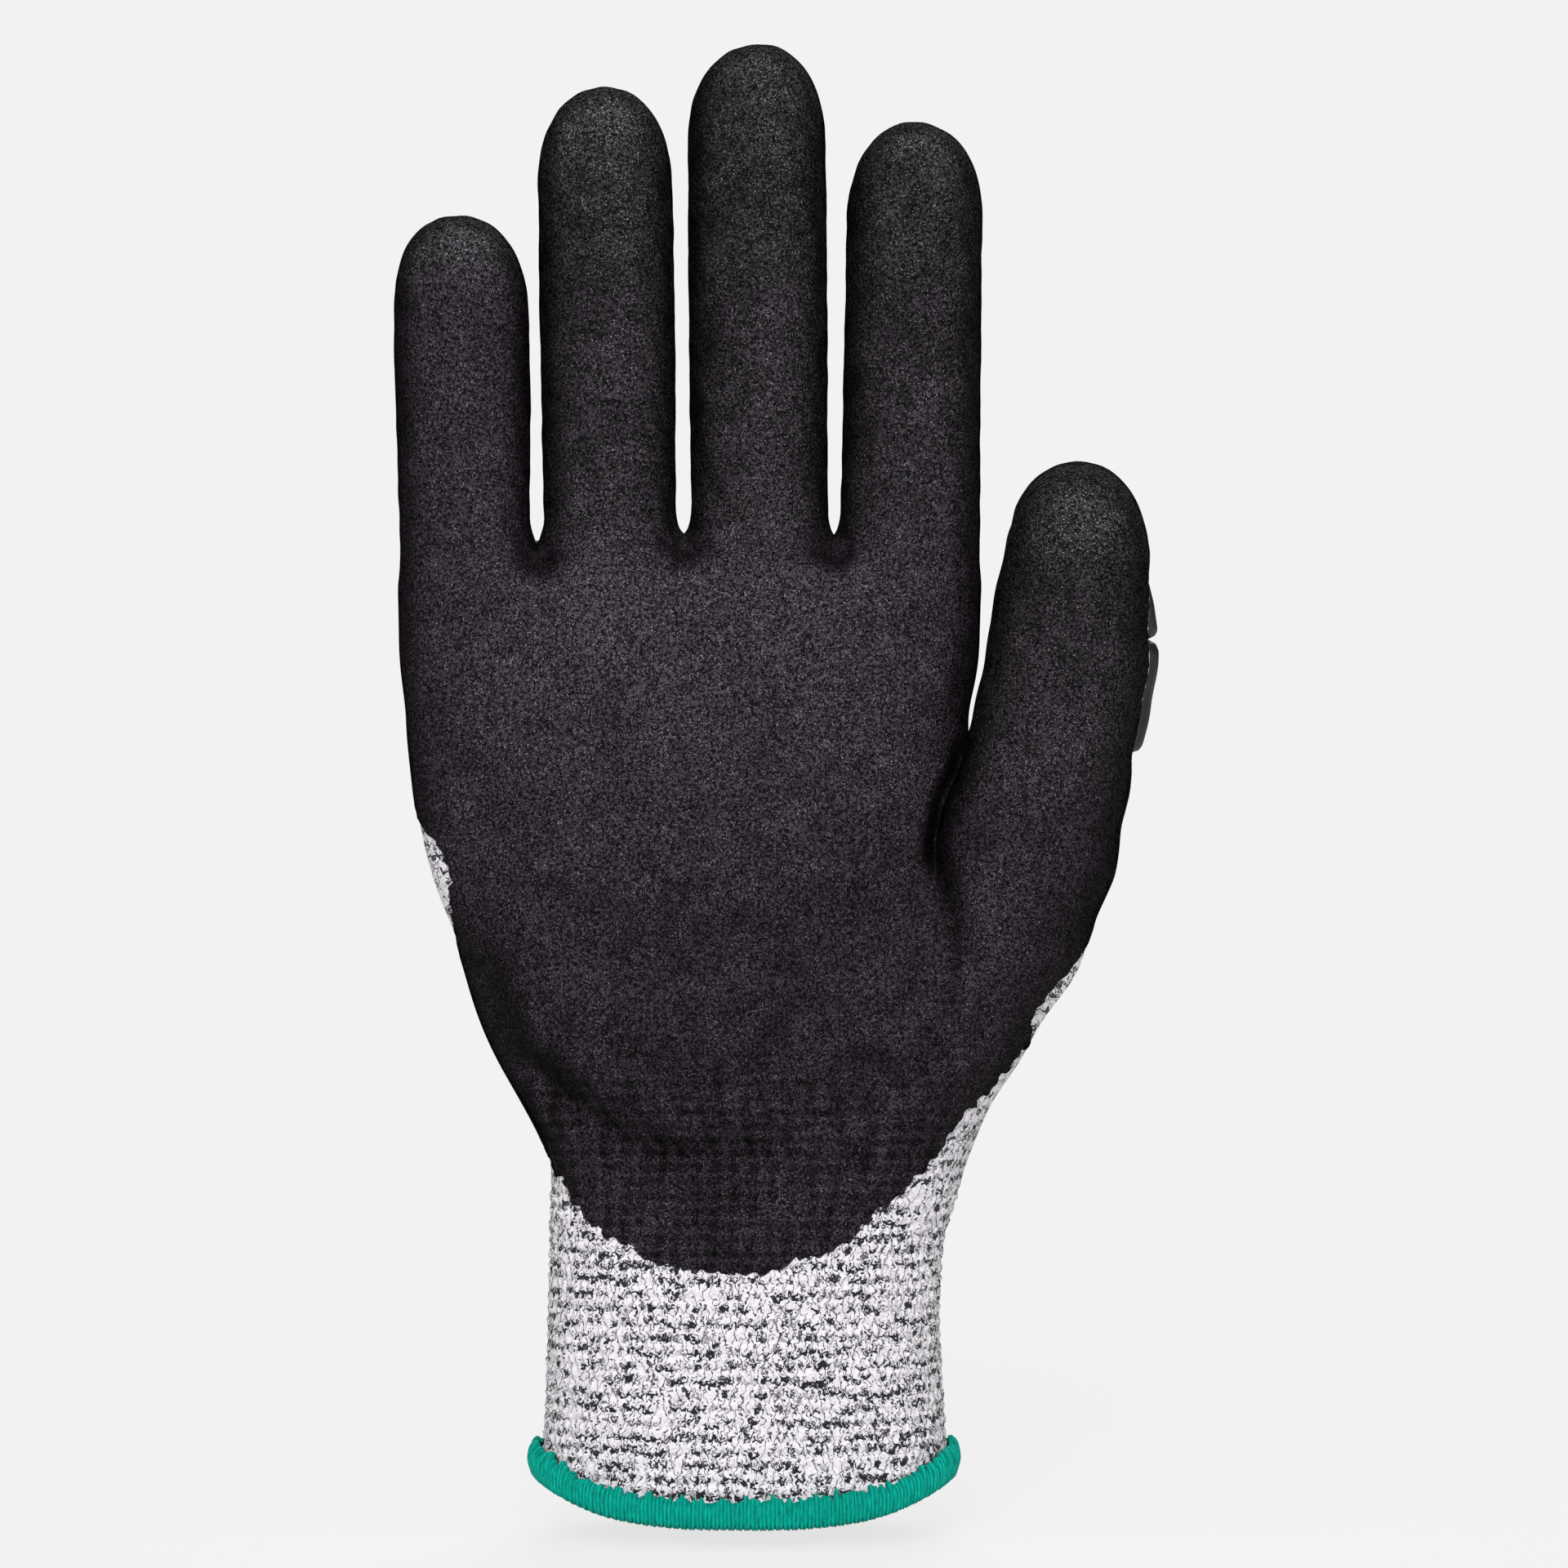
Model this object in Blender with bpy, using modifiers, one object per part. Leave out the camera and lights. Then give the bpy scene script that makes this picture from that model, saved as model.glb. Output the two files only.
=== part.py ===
"""Cut resistant work glove, right hand, size 9, as an assembly of separate solids.

Frame: metres, +Z up along the fingers, palm facing -Y, thumb on +X.
The origin is in the plane of the hem, under the middle of the whole glove.
The tables below are in millimetres from the centre of the cuff opening; the
glove's empty carries them to the origin.
The glove is one knitted liner, a palm coating, a bound hem, elastic yarn in the
cuff and a set of moulded impact guards on the back. Each soft layer is divided
at the lines where a worn glove folds, so every rigid length is its own solid.
"""
import math
from collections import namedtuple

import bmesh
import bpy
from mathutils import Matrix, Vector

MM = 0.001

# ---- driving dimensions, millimetres ----
LINER = 1.2          # knitted wall
GAP = 0.3            # air between neighbouring layers
COAT = 0.7           # nitrile foam layer
GUARD = 2.6          # moulded rubber guard
CLEAR = 0.4          # half of the slit between two lengths at a fold
GLOVE_CENTRE = (5.3365, -0.9513)   # middle of the whole glove, x and y

# how square each cross-section is: the power of its superellipse, 2 being an ellipse
CUFF_POWER, HAND_POWER, DIGIT_POWER, THUMB_BASE_POWER = 2.4, 2.7, 2.25, 2.3

# hand and cuff sections: height, -X edge, +X edge, centre y, half depth
CUFF = [
    (1.6, -33.0, 33.4, 0, 18.6), (18, -33.0, 33.2, 0, 18.6), (30, -32.8, 33.0, 0, 18.4),
    (42, -32.4, 32.9, 0, 18.2), (51, -32.2, 33.6, 0, 18.1), (62, -32.2, 35.0, 0, 18.0),
]
HAND = [
    (50, -32.2, 33.6, 0, 18.1), (61, -32.2, 35.0, 0, 17.8), (67, -34.0, 37.4, 0, 17.4),
    (73.4, -36.8, 42.5, 0, 17.0), (84.4, -42.6, 48.0, 0, 16.5), (95.4, -45.8, 48.0, 0, 16.0),
    (106.4, -50.4, 47.0, 0, 15.5), (117.5, -53.1, 46.0, 0, 15.0), (126, -54.8, 43.0, -0.2, 14.4),
    (131, -55.4, 38.0, -0.3, 14.0), (139.5, -55.9, 36.8, -0.5, 13.5),
    (150.5, -56.0, 37.6, -0.6, 12.8), (161, -56.5, 38.6, -0.8, 11.6),
    (167, -56.7, 38.8, -1.0, 10.6),
]

# ---- folds ----
# height and y of the axis, then how far in degrees it opens to the back and shuts to the palm
Fold = namedtuple("Fold", "z y open_deg shut_deg")
WRIST = Fold(61.0, 0.0, 45, 55)
KNUCKLE = Fold(149.0, -1.0, 10, 45)
FINGER_BASE = Fold(175.0, -1.2, 10, 40)
MIDDLE_RANGE, END_RANGE = (0, 85), (0, 55)   # open and shut limits of a finger's other folds
FOLD_DEPTH = 0.2     # how far those axes lie to the palm side of the finger's axis
MIN_OPEN_DEG = 0.5   # least opening of a fold's wedge cutter

# ---- digits ----
# half_widths and half_depths are given at the root, the middle and the end
Digit = namedtuple("Digit", "root_x tip_x half_widths half_depths tip_z root_z root_y curl")
ROOT_Z, ROOT_Y = 166.0, -1.0   # where the fingers part
CURL = 5.0           # how far a fingertip leans to the palm
TIP = 12.5           # length of the rounded finger end
TIP_POWER = 2.2      # roundness of that end
# the first five Digit fields, then the heights of the middle and end folds
FINGER_TABLE = {
    "little": (-46.9, -47.6, (9.9, 10.3, 10.1), (9.0, 8.9, 8.6), 220.4, 189.0, 205.0),
    "ring": (-22.4, -23.3, (10.1, 10.4, 10.2), (9.5, 9.4, 9.1), 241.8, 194.5, 217.5),
    "middle": (2.8, 2.2, (10.5, 10.7, 10.5), (9.8, 9.7, 9.4), 249.0, 197.0, 222.5),
    "index": (28.1, 29.0, (10.8, 10.5, 10.3), (9.6, 9.5, 9.2), 236.0, 193.5, 214.5),
}
FINGER_PARTS = ("proximal", "middle", "distal")
FINGERS = {name: Digit(*row[:5], ROOT_Z, ROOT_Y, CURL) for name, row in FINGER_TABLE.items()}

# ---- thumb ----
# root crease, as two points (x, z) and its y; its fold is measured in the crease's own frame
CREASE_LOW, CREASE_HIGH, CREASE_Y = (42.0, 72.0), (34.0, 128.0), -2.0
THUMB_ROOT = Fold(0.0, 0.0, 10, 25)
# the thumb's own frame starts at its first fold and points along its aim
THUMB_TURN_DEG = 35.0   # how far the thumb's nail turns to the +X side
THUMB_START = Vector((52.9, -9.2, 137.5))
THUMB_AIM = Vector((0.085, -0.06, 1.0)).normalized()
THUMB = Digit(0.0, 0.0, (12.9, 12.2, 11.3), (11.6, 11.0, 10.2), 41.2, 0, 0.0, 0.0)
THUMB_FIRST = Fold(0.0, 0.0, 0, 30)
THUMB_SECOND = Fold(14.0, 0.0, 0, 55)
# thumb base sections: inner end (x, z), outer end (x, z), half depth, centre y
THUMB_BASE = [
    ((27.0, 125.0), (30.0, 71.0), 16.6, -0.4), ((33.0, 124.5), (43.5, 77.5), 16.4, -0.8),
    ((35.6, 125.0), (51.5, 88.5), 16.2, -2.0), ((36.8, 126.2), (56.8, 100.5), 15.7, -3.6),
    ((37.9, 127.8), (60.2, 112.0), 14.8, -5.4), ((38.9, 129.8), (62.8, 123.0), 13.4, -7.2),
    ((39.7, 133.2), (64.2, 131.5), 12.2, -8.6), ((40.4, 138.5), (65.2, 138.5), 11.7, -9.2),
    ((41.0, 146.0), (66.0, 146.0), 11.4, -9.6),
]

# ---- scene ----
for old in list(bpy.data.objects):
    bpy.data.objects.remove(old, do_unlink=True)

glove = bpy.data.collections.new("cut_resistant_glove")
tools = bpy.data.collections.new("cutters")
for collection in (glove, tools):
    bpy.context.scene.collection.children.link(collection)

glove_frame = bpy.data.objects.new("glove_frame", None)
glove_frame.location = (-GLOVE_CENTRE[0] * MM, -GLOVE_CENTRE[1] * MM, 0)
glove.objects.link(glove_frame)


def material(name, colour, roughness):
    made = bpy.data.materials.new(name)
    made.use_nodes = True
    shader = made.node_tree.nodes["Principled BSDF"]
    shader.inputs["Base Color"].default_value = (*colour, 1)
    shader.inputs["Roughness"].default_value = roughness
    return made


KNIT = material("knit", colour=(0.62, 0.62, 0.64), roughness=0.9)
NITRILE = material("nitrile", colour=(0.018, 0.017, 0.019), roughness=0.75)
THREAD = material("hem_thread", colour=(0.0, 0.36, 0.25), roughness=0.8)
RUBBER = material("guard_rubber", colour=(0.02, 0.02, 0.021), roughness=0.5)
ELASTIC = material("elastic_yarn", colour=(0.5, 0.5, 0.5), roughness=0.6)


# ---- section maths ----
def circle(count):
    """Angles evenly round a full turn. 0 is +X, a quarter turn is the back of the hand."""
    return [2 * math.pi * i / count for i in range(count)]


def arc(start_deg, end_deg, count):
    """Angles from start to end, both included."""
    start, end = math.radians(start_deg), math.radians(end_deg)
    return [start + (end - start) * i / (count - 1) for i in range(count)]


def section_at(rows, z):
    """The row of a section table at height z, straight between its entries."""
    if z <= rows[0][0]:
        return rows[0][1:]
    for low, high in zip(rows, rows[1:]):
        if z <= high[0]:
            t = (z - low[0]) / (high[0] - low[0])
            return tuple(a + (b - a) * t for a, b in zip(low[1:], high[1:]))
    return rows[-1][1:]


def oval(centre_x, centre_y, half_x, half_y, angle, power):
    """A point of a superellipse."""
    cosine, sine = math.cos(angle), math.sin(angle)
    return (centre_x + half_x * math.copysign(abs(cosine) ** (2 / power), cosine),
            centre_y + half_y * math.copysign(abs(sine) ** (2 / power), sine))


def body_point(rows, z, angle, offset, power):
    left, right, centre_y, half = section_at(rows, z)
    return Vector((*oval((left + right) / 2, centre_y, (right - left) / 2 + offset,
                         half + offset, angle, power), z))


def cuff_point(z, angle, offset):
    return body_point(CUFF, z, angle, offset, CUFF_POWER)


def along_digit(values, t):
    """Straight between root, middle and end values."""
    t = max(0.0, min(1.0, t)) * 2
    i = min(int(t), 1)
    return values[i] + (values[i + 1] - values[i]) * (t - i)


def axis_y(digit, z):
    """y of the digit's axis, leaning to the palm towards the tip."""
    t = max(0.0, (z - digit.root_z) / (digit.tip_z - digit.root_z))
    return digit.root_y - digit.curl * t * t


def digit_point(digit, z, angle, offset):
    t = (z - digit.root_z) / (digit.tip_z - digit.root_z)
    centre_x = digit.root_x + (digit.tip_x - digit.root_x) * t
    half_width = along_digit(digit.half_widths, t) + offset
    half_depth = along_digit(digit.half_depths, t) + offset
    over = (z - (digit.tip_z - TIP)) / (TIP + offset)
    if over > 0:
        shrink = max(0.0, 1 - over ** TIP_POWER) ** (1 / TIP_POWER)
        half_width, half_depth = half_width * shrink, half_depth * shrink
    return Vector((*oval(centre_x, axis_y(digit, z), half_width, half_depth,
                         angle, DIGIT_POWER), z))


# ---- building blocks ----
def finish(name, bm, mat, group=glove):
    bmesh.ops.recalc_face_normals(bm, faces=bm.faces)
    mesh = bpy.data.meshes.new(name)
    bm.to_mesh(mesh)
    bm.free()
    mesh.materials.append(mat)
    mesh.shade_smooth()
    mesh.set_sharp_from_angle(angle=math.radians(40))
    obj = bpy.data.objects.new(name, mesh)
    obj.parent = glove_frame
    group.objects.link(obj)
    if group is tools:
        obj.hide_render = True
        obj.display_type = "WIRE"
    return obj


def loft(name, rings, mat, closed=True, capped=False, pole=None, group=glove):
    """A surface through rings of points. A pole closes the last ring to a point."""
    bm = bmesh.new()
    rows = [[bm.verts.new(point * MM) for point in ring] for ring in rings]
    count = len(rows[0])
    steps = count if closed else count - 1
    for low, high in zip(rows, rows[1:]):
        for i in range(steps):
            after = (i + 1) % count
            bm.faces.new((low[i], low[after], high[after], high[i]))
    if pole is not None:
        top = bm.verts.new(pole * MM)
        for i in range(steps):
            bm.faces.new((rows[-1][i], rows[-1][(i + 1) % count], top))
    if capped:
        bm.faces.new(list(reversed(rows[0])))
        bm.faces.new(rows[-1])
    return finish(name, bm, mat, group)


def sheet(name, rings, mat, centre, thickness, out, closed=True, pole=None):
    """An open surface, faced away from its centre, then thickened outwards or inwards."""
    obj = loft(name, rings, mat, closed=closed, pole=pole)
    mesh = obj.data
    facing = sum((face.center - centre * MM).dot(face.normal) * face.area
                 for face in mesh.polygons)
    if facing < 0:
        mesh.flip_normals()
    wall = obj.modifiers.new("wall", "SOLIDIFY")
    wall.thickness = thickness * MM
    wall.offset = 1.0 if out else -1.0
    wall.use_even_offset = True
    return obj


def cut(obj, *cutters, operation="DIFFERENCE"):
    for cutter in cutters:
        boolean = obj.modifiers.new(cutter.name, "BOOLEAN")
        boolean.operation = operation
        boolean.object = cutter
        boolean.solver = "EXACT"
    return obj


def box(name, low, high):
    """A cutter between two corners."""
    bm = bmesh.new()
    bmesh.ops.create_cube(bm, size=1.0)
    low, high = Vector(low) * MM, Vector(high) * MM
    bmesh.ops.scale(bm, vec=high - low, verts=bm.verts)
    bmesh.ops.translate(bm, vec=(low + high) / 2, verts=bm.verts)
    return finish(name, bm, RUBBER, tools)


def prism(name, outline, frame, half_length):
    """A cutter with a flat outline in the frame's Y and Z, pushed along the frame's X."""
    bm = bmesh.new()
    face = bm.faces.new([bm.verts.new(frame @ (Vector((-half_length, y, z)) * MM))
                         for y, z in outline])
    made = bmesh.ops.extrude_face_region(bm, geom=[face])["geom"]
    verts = [item for item in made if isinstance(item, bmesh.types.BMVert)]
    push = frame.to_3x3() @ Vector((2 * half_length * MM, 0, 0))
    bmesh.ops.translate(bm, vec=push, verts=verts)
    return finish(name, bm, RUBBER, tools)


def axes_frame(origin, x_axis, y_axis, z_axis):
    turned = Matrix((x_axis, y_axis, z_axis)).transposed().to_4x4()
    return Matrix.Translation(origin * MM) @ turned


def fold_cutters(name, fold, half_length, side, reach=60, frame=Matrix.Identity(4)):
    """Two wedges about a fold's axis, which runs along the frame's X.

    "before" clears the length below the fold and "after" the length above it, so that
    the palm side can close. side is their extent in Y, reach their extent in Z.
    """
    frame = frame @ Matrix.Translation(Vector((0, 0, fold.z)) * MM)
    shut = math.tan(math.radians(fold.shut_deg / 2))
    opened = math.tan(math.radians(max(fold.open_deg, MIN_OPEN_DEG) / 2))
    palm_y, back_y = fold.y - side, fold.y + side
    wedges = []
    for sign, suffix in ((-1, "before"), (1, "after")):
        outline = [(palm_y, sign * (CLEAR + side * shut)), (fold.y, sign * CLEAR),
                   (back_y, sign * (CLEAR + side * opened)),
                   (back_y, -sign * reach), (palm_y, -sign * reach)]
        wedges.append(prism(f"{name}_{suffix}", outline, frame, half_length))
    return wedges


# ---- fold cutters ----
crease_mid = Vector(((CREASE_LOW[0] + CREASE_HIGH[0]) / 2, CREASE_Y,
                     (CREASE_LOW[1] + CREASE_HIGH[1]) / 2))
crease_axis = Vector((CREASE_HIGH[0] - CREASE_LOW[0], 0,
                      CREASE_HIGH[1] - CREASE_LOW[1])).normalized()
back = Vector((0, 1, 0))
# X down along the crease, Y to the back of the hand, Z out to the thumb
crease_frame = axes_frame(crease_mid, -crease_axis, back, back.cross(crease_axis))

thumb_turn = math.radians(THUMB_TURN_DEG)
fold_axis = Vector((math.cos(thumb_turn), -math.sin(thumb_turn), 0))
fold_axis = (fold_axis - THUMB_AIM * fold_axis.dot(THUMB_AIM)).normalized()
# X along the thumb's fold axes, Y to its back, Z along it
thumb_frame = axes_frame(THUMB_START, fold_axis, THUMB_AIM.cross(fold_axis), THUMB_AIM)

wrist_before, wrist_after = fold_cutters("wrist", WRIST, 80, side=40)
knuckle_before, knuckle_after = fold_cutters("knuckle", KNUCKLE, 90, side=30)
base_before, _ = fold_cutters("finger_base", FINGER_BASE, 90, side=30, reach=40)
root_before, root_after = fold_cutters("thumb_root", THUMB_ROOT, 75, side=40, frame=crease_frame)
thumb_before, _ = fold_cutters("thumb_first_fold", THUMB_FIRST, 60, side=40, frame=thumb_frame)
# only the stretch of the palm beside the thumb's root is opened
cut(root_before, box("above_thumb_root", (0, -60, 131.5), (120, 60, 260)),
    box("below_thumb_root", (0, -60, -20), (120, 60, 69.5)))


# ---- cuff ----
CUFF_SIDES = 32
CUFF_LEVELS = (1.6, 14, 28, 40, 50, 62)
CUFF_EDGE = CUFF_LEVELS[0]   # lower edge of the liner
HEM_HEIGHT = 5.6     # height of the bound edge
HEM_WALL = 1.3       # inner wall of the bound edge
ELASTIC_TURNS, ELASTIC_STEPS = 5, 26   # turns of yarn, points in each
ELASTIC_LOW, ELASTIC_RISE = 9.0, 36.0
ELASTIC_RADIUS = 0.35
ELASTIC_INSET = 0.85   # yarn's centre line from the liner's inside
TONGUE_LOW, TONGUE_TOP = 43.5, 61.5   # coating on the cuff, at its middle
TONGUE_RISE, TONGUE_HALF_DEG, TONGUE_POWER = 9.5, 62, 2.2   # curve of its lower edge
PALM_DEG = 270       # angle that faces the palm


def liner_cuff():
    rings = [[cuff_point(z, angle, 0) for angle in circle(CUFF_SIDES)] for z in CUFF_LEVELS]
    cuff = sheet("liner_cuff", rings, KNIT, Vector((0, 0, 30)), LINER, out=False)
    cut(cuff, wrist_before)


def hem_binding():
    """A channel folded over the liner's lower edge, flaring a little."""
    inner = -LINER - GAP
    floor = CUFF_EDGE - GAP
    # offset from the liner's outside, height
    profile = [
        (inner - HEM_WALL, 0.6), (inner - 0.7, 0.0), (1.9, 0.0), (2.7, 0.9), (2.8, 3.4),
        (1.9, HEM_HEIGHT), (GAP, HEM_HEIGHT), (GAP, floor), (inner, floor),
        (inner, HEM_HEIGHT - 0.8), (inner - HEM_WALL, HEM_HEIGHT - 0.8),
    ]
    bm = bmesh.new()
    rows = [[bm.verts.new(Vector((*cuff_point(CUFF_EDGE, angle, offset).xy, z)) * MM)
             for offset, z in profile] for angle in circle(CUFF_SIDES)]
    for i, row in enumerate(rows):
        beside = rows[(i + 1) % CUFF_SIDES]
        for j in range(len(profile)):
            above = (j + 1) % len(profile)
            bm.faces.new((row[j], beside[j], beside[above], row[above]))
    finish("hem_binding", bm, THREAD)


def cuff_elastic():
    """Elastic yarn wound inside the cuff."""
    curve = bpy.data.curves.new("cuff_elastic", "CURVE")
    curve.dimensions = "3D"
    curve.bevel_depth = ELASTIC_RADIUS * MM
    curve.bevel_resolution = 0
    curve.use_fill_caps = True
    curve.materials.append(ELASTIC)
    spline = curve.splines.new("POLY")
    count = ELASTIC_TURNS * ELASTIC_STEPS
    spline.points.add(count - 1)
    for i in range(count):
        z = ELASTIC_LOW + ELASTIC_RISE * i / (count - 1)
        angle = 2 * math.pi * i / ELASTIC_STEPS
        point = cuff_point(z, angle, -LINER - ELASTIC_INSET)
        spline.points[i].co = (*(point * MM), 1)
    elastic = bpy.data.objects.new("cuff_elastic", curve)
    elastic.parent = glove_frame
    glove.objects.link(elastic)


def coating_cuff():
    """The coating's end on the cuff: a rounded tongue, lowest in the middle."""
    def tongue_point(t, angle):
        side = abs(math.degrees(angle) - PALM_DEG) / TONGUE_HALF_DEG
        low = TONGUE_LOW + TONGUE_RISE * side ** TONGUE_POWER
        return cuff_point(low + (TONGUE_TOP - low) * t, angle, GAP)

    rings = [[tongue_point(t, angle) for angle in arc(210, 330, 13)] for t in (0, 0.5, 1)]
    tongue = sheet("coating_cuff", rings, NITRILE, Vector((0, 0, 50)), COAT,
                   out=True, closed=False)
    cut(tongue, wrist_before)


liner_cuff()
hem_binding()
cuff_elastic()
coating_cuff()


# ---- solids of the hand, each grown by an offset ----
# extend lengthens a solid at its open ends, so that as a cutter it passes right through
PALM_LOW, PALM_HIGH = 56, 155
PALM_GUARD_LOW, PALM_GUARD_HIGH = 60, 148
KNUCKLES_LOW = 140
FINGER_STUB = (160, 184)   # heights of the finger roots joined to the hand's end


def hand_solid(name, low, high, offset, count=32, mat=KNIT, group=tools):
    between = [row[0] for row in HAND if low + 1 < row[0] < high - 1]
    rings = [[body_point(HAND, z, angle, offset, HAND_POWER) for angle in circle(count)]
             for z in [low, *between, high]]
    return loft(name, rings, mat, capped=True, group=group)


def palm_solid(name, offset, extend, mat=KNIT, group=tools):
    return hand_solid(name, PALM_LOW - extend, PALM_HIGH + extend, offset,
                      mat=mat, group=group)


def palm_guard_solid(name, offset, extend, mat=KNIT, group=tools):
    return hand_solid(name, PALM_GUARD_LOW - extend, PALM_GUARD_HIGH + extend, offset,
                      count=28, mat=mat, group=group)


def knuckle_solid(name, offset, extend, mat=KNIT, group=tools):
    """The hand's end, where one opening becomes four."""
    body = hand_solid(name, KNUCKLES_LOW - extend, HAND[-1][0] + offset, offset,
                      mat=mat, group=group)
    for finger, digit in FINGERS.items():
        rings = [[digit_point(digit, z, angle, offset) for angle in circle(20)]
                 for z in (FINGER_STUB[0] - offset, FINGER_STUB[1] + extend)]
        stub = loft(f"{name}_{finger}", rings, KNIT, capped=True, group=tools)
        cut(body, stub, operation="UNION")
    return body


def thumb_base_solid(name, offset, extend, mat=KNIT, group=tools):
    """The fan from the palm's side up to the thumb's first fold."""
    pushes = [Vector() for _ in THUMB_BASE]
    pushes[0] = Vector((-extend, 0, 0))
    pushes[-1] = Vector((0, 0, extend))
    rings = []
    for (inner, outer, half_depth, centre_y), push in zip(THUMB_BASE, pushes):
        inner_end = Vector((inner[0], 0, inner[1]))
        outer_end = Vector((outer[0], 0, outer[1]))
        along = (outer_end - inner_end).normalized()
        centre = (inner_end + outer_end) / 2
        half_length = (outer_end - inner_end).length / 2 + offset
        ring = []
        for angle in circle(24):
            u, v = oval(0, 0, half_length, half_depth + offset, angle, THUMB_BASE_POWER)
            ring.append(centre + along * u + Vector((0, centre_y + v, 0)) + push)
        rings.append(ring)
    return loft(name, rings, mat, capped=True, group=group)


def layer(name, solid, inner_offset, outer_offset, mat, suffix="inner", extend=1):
    """The space between two sizes of a solid."""
    outer = solid(name, outer_offset, 0, mat=mat, group=glove)
    return cut(outer, solid(f"{name}_{suffix}", inner_offset, extend))


# ---- palm, knuckles and thumb base ----
# name, solid, cutters at the folds, then the cutter that bares the coating's back:
# its name and corners
HAND_LENGTHS = [
    ("palm", palm_solid, (wrist_after, knuckle_before, root_before),
     ("palm_back_of_coat", (-90, 4.0, 40), (90, 60, 160))),
    ("knuckles", knuckle_solid, (knuckle_after, base_before),
     ("knuckle_back_of_coat", (-90, 3.2, 130), (90, 60, 200))),
    ("thumb_base", thumb_base_solid, (root_after, thumb_before),
     ("thumb_back_of_coat", (20, 2.0, 60), (100, 60, 150))),
]
for name, solid, folds, bare_back in HAND_LENGTHS:
    cut(layer(f"liner_{name}", solid, -LINER, 0, KNIT), *folds)
    cut(layer(f"coating_{name}", solid, GAP, GAP + COAT, NITRILE), *folds, box(*bare_back))


# ---- fingers and thumb ----
DIGIT_SIDES = 16
COAT_ARC = (156, 384, 13)   # start and end in degrees, points
GUARD_ARC = (50, 130, 6)
GUARD_MARGIN = 2.6   # guard's end from a fold
GUARD_TIP_MARGIN = 6.5
BARE_TIP_MARGIN = 5.0   # coated stretch of the back, at the tip
BARE_DEPTH = 0.43    # where the bare back starts, as a share of the half depth
BARE_STATION = 0.7   # share of the digit's length where its half sizes are taken


def length_point(digit, offset, low, high, t, angle):
    """A point of a length between two folds, or between a fold and the tip if high is None.

    An end at a fold is wedge cut; its height depends on the point's y, so it is
    approached in a few passes.
    """
    tip_z = digit.tip_z + offset

    def edge(fold, sign, y):
        side = y - fold.y
        slope = math.tan(math.radians((fold.shut_deg if side < 0 else fold.open_deg) / 2))
        return fold.z + sign * (CLEAR + abs(side) * slope)

    z = low.z + ((high.z if high else tip_z) - low.z) * t
    for _ in range(4):
        y = digit_point(digit, z, angle, offset).y
        start = edge(low, 1, y)
        end = edge(high, -1, y) if high else tip_z
        z = start + (end - start) * t
    return digit_point(digit, z, angle, offset)


def bare_back_cutter(name, digit, low):
    """Clears the coating from the back of a tip length."""
    half_width = along_digit(digit.half_widths, BARE_STATION)
    half_depth = along_digit(digit.half_depths, BARE_STATION)
    y = axis_y(digit, (low.z + digit.tip_z) / 2) + BARE_DEPTH * half_depth
    return box(name, (digit.tip_x - half_width - 6, y, low.z - 20),
               (digit.tip_x + half_width + 6, y + 40, digit.tip_z - BARE_TIP_MARGIN))


def make_length(prefix, part, digit, low, high, frame):
    """Liner, coating and guard of one length; high is None for the length with the tip."""
    if high:
        levels = [0, 0.5, 1]
        coat_angles = arc(*COAT_ARC)
        top, guard_top = high.z, high.z - GUARD_MARGIN
    else:
        start = (digit.tip_z - TIP - low.z) / (digit.tip_z - low.z)
        levels = [0, start * 0.7] + [start + (1 - start) * s for s in (0.15, 0.5, 0.78, 0.93)]
        coat_angles = circle(DIGIT_SIDES)
        top, guard_top = digit.tip_z, digit.tip_z - GUARD_TIP_MARGIN
    centre = Vector((digit.root_x, 0, (low.z + top) / 2))

    def skin(kind, mat, offset, angles, thickness, out, closed):
        rings = [[length_point(digit, offset, low, high, t, angle) for angle in angles]
                 for t in levels]
        pole = None
        if not high:
            pole = Vector((digit.tip_x, axis_y(digit, digit.tip_z), digit.tip_z + offset))
        return sheet(f"{kind}_{prefix}_{part}", rings, mat, centre, thickness, out, closed, pole)

    liner = skin("liner", KNIT, 0, circle(DIGIT_SIDES), LINER, out=False, closed=True)
    coat = skin("coating", NITRILE, GAP, coat_angles, COAT, out=True, closed=high is None)
    guard_low = low.z + GUARD_MARGIN
    guard_rings = [[digit_point(digit, guard_low + (guard_top - guard_low) * s, angle, GAP)
                    for angle in arc(*GUARD_ARC)] for s in (0, 0.33, 0.67, 1)]
    guard = sheet(f"guard_{prefix}_{part}", guard_rings, RUBBER, centre, GUARD,
                  out=True, closed=False)
    made = [liner, coat, guard]
    if not high:
        bare = bare_back_cutter(f"{prefix}_bare_back", digit, low)
        cut(coat, bare)
        made.append(bare)
    for obj in made:
        obj.matrix_basis = frame


def make_digit(prefix, digit, folds, parts, frame=Matrix.Identity(4)):
    """All lengths of a digit, one above each fold; the last carries the tip."""
    for part, low, high in zip(parts, folds, folds[1:] + [None]):
        make_length(prefix, part, digit, low, high, frame)


def finger_folds(finger):
    digit = FINGERS[finger]
    middle_z, end_z = FINGER_TABLE[finger][5:]
    return [FINGER_BASE,
            Fold(middle_z, axis_y(digit, middle_z) - FOLD_DEPTH, *MIDDLE_RANGE),
            Fold(end_z, axis_y(digit, end_z) - FOLD_DEPTH, *END_RANGE)]


for finger, digit in FINGERS.items():
    make_digit(finger, digit, finger_folds(finger), FINGER_PARTS)
make_digit("thumb", THUMB, [THUMB_FIRST, THUMB_SECOND], ("proximal", "distal"), thumb_frame)

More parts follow.
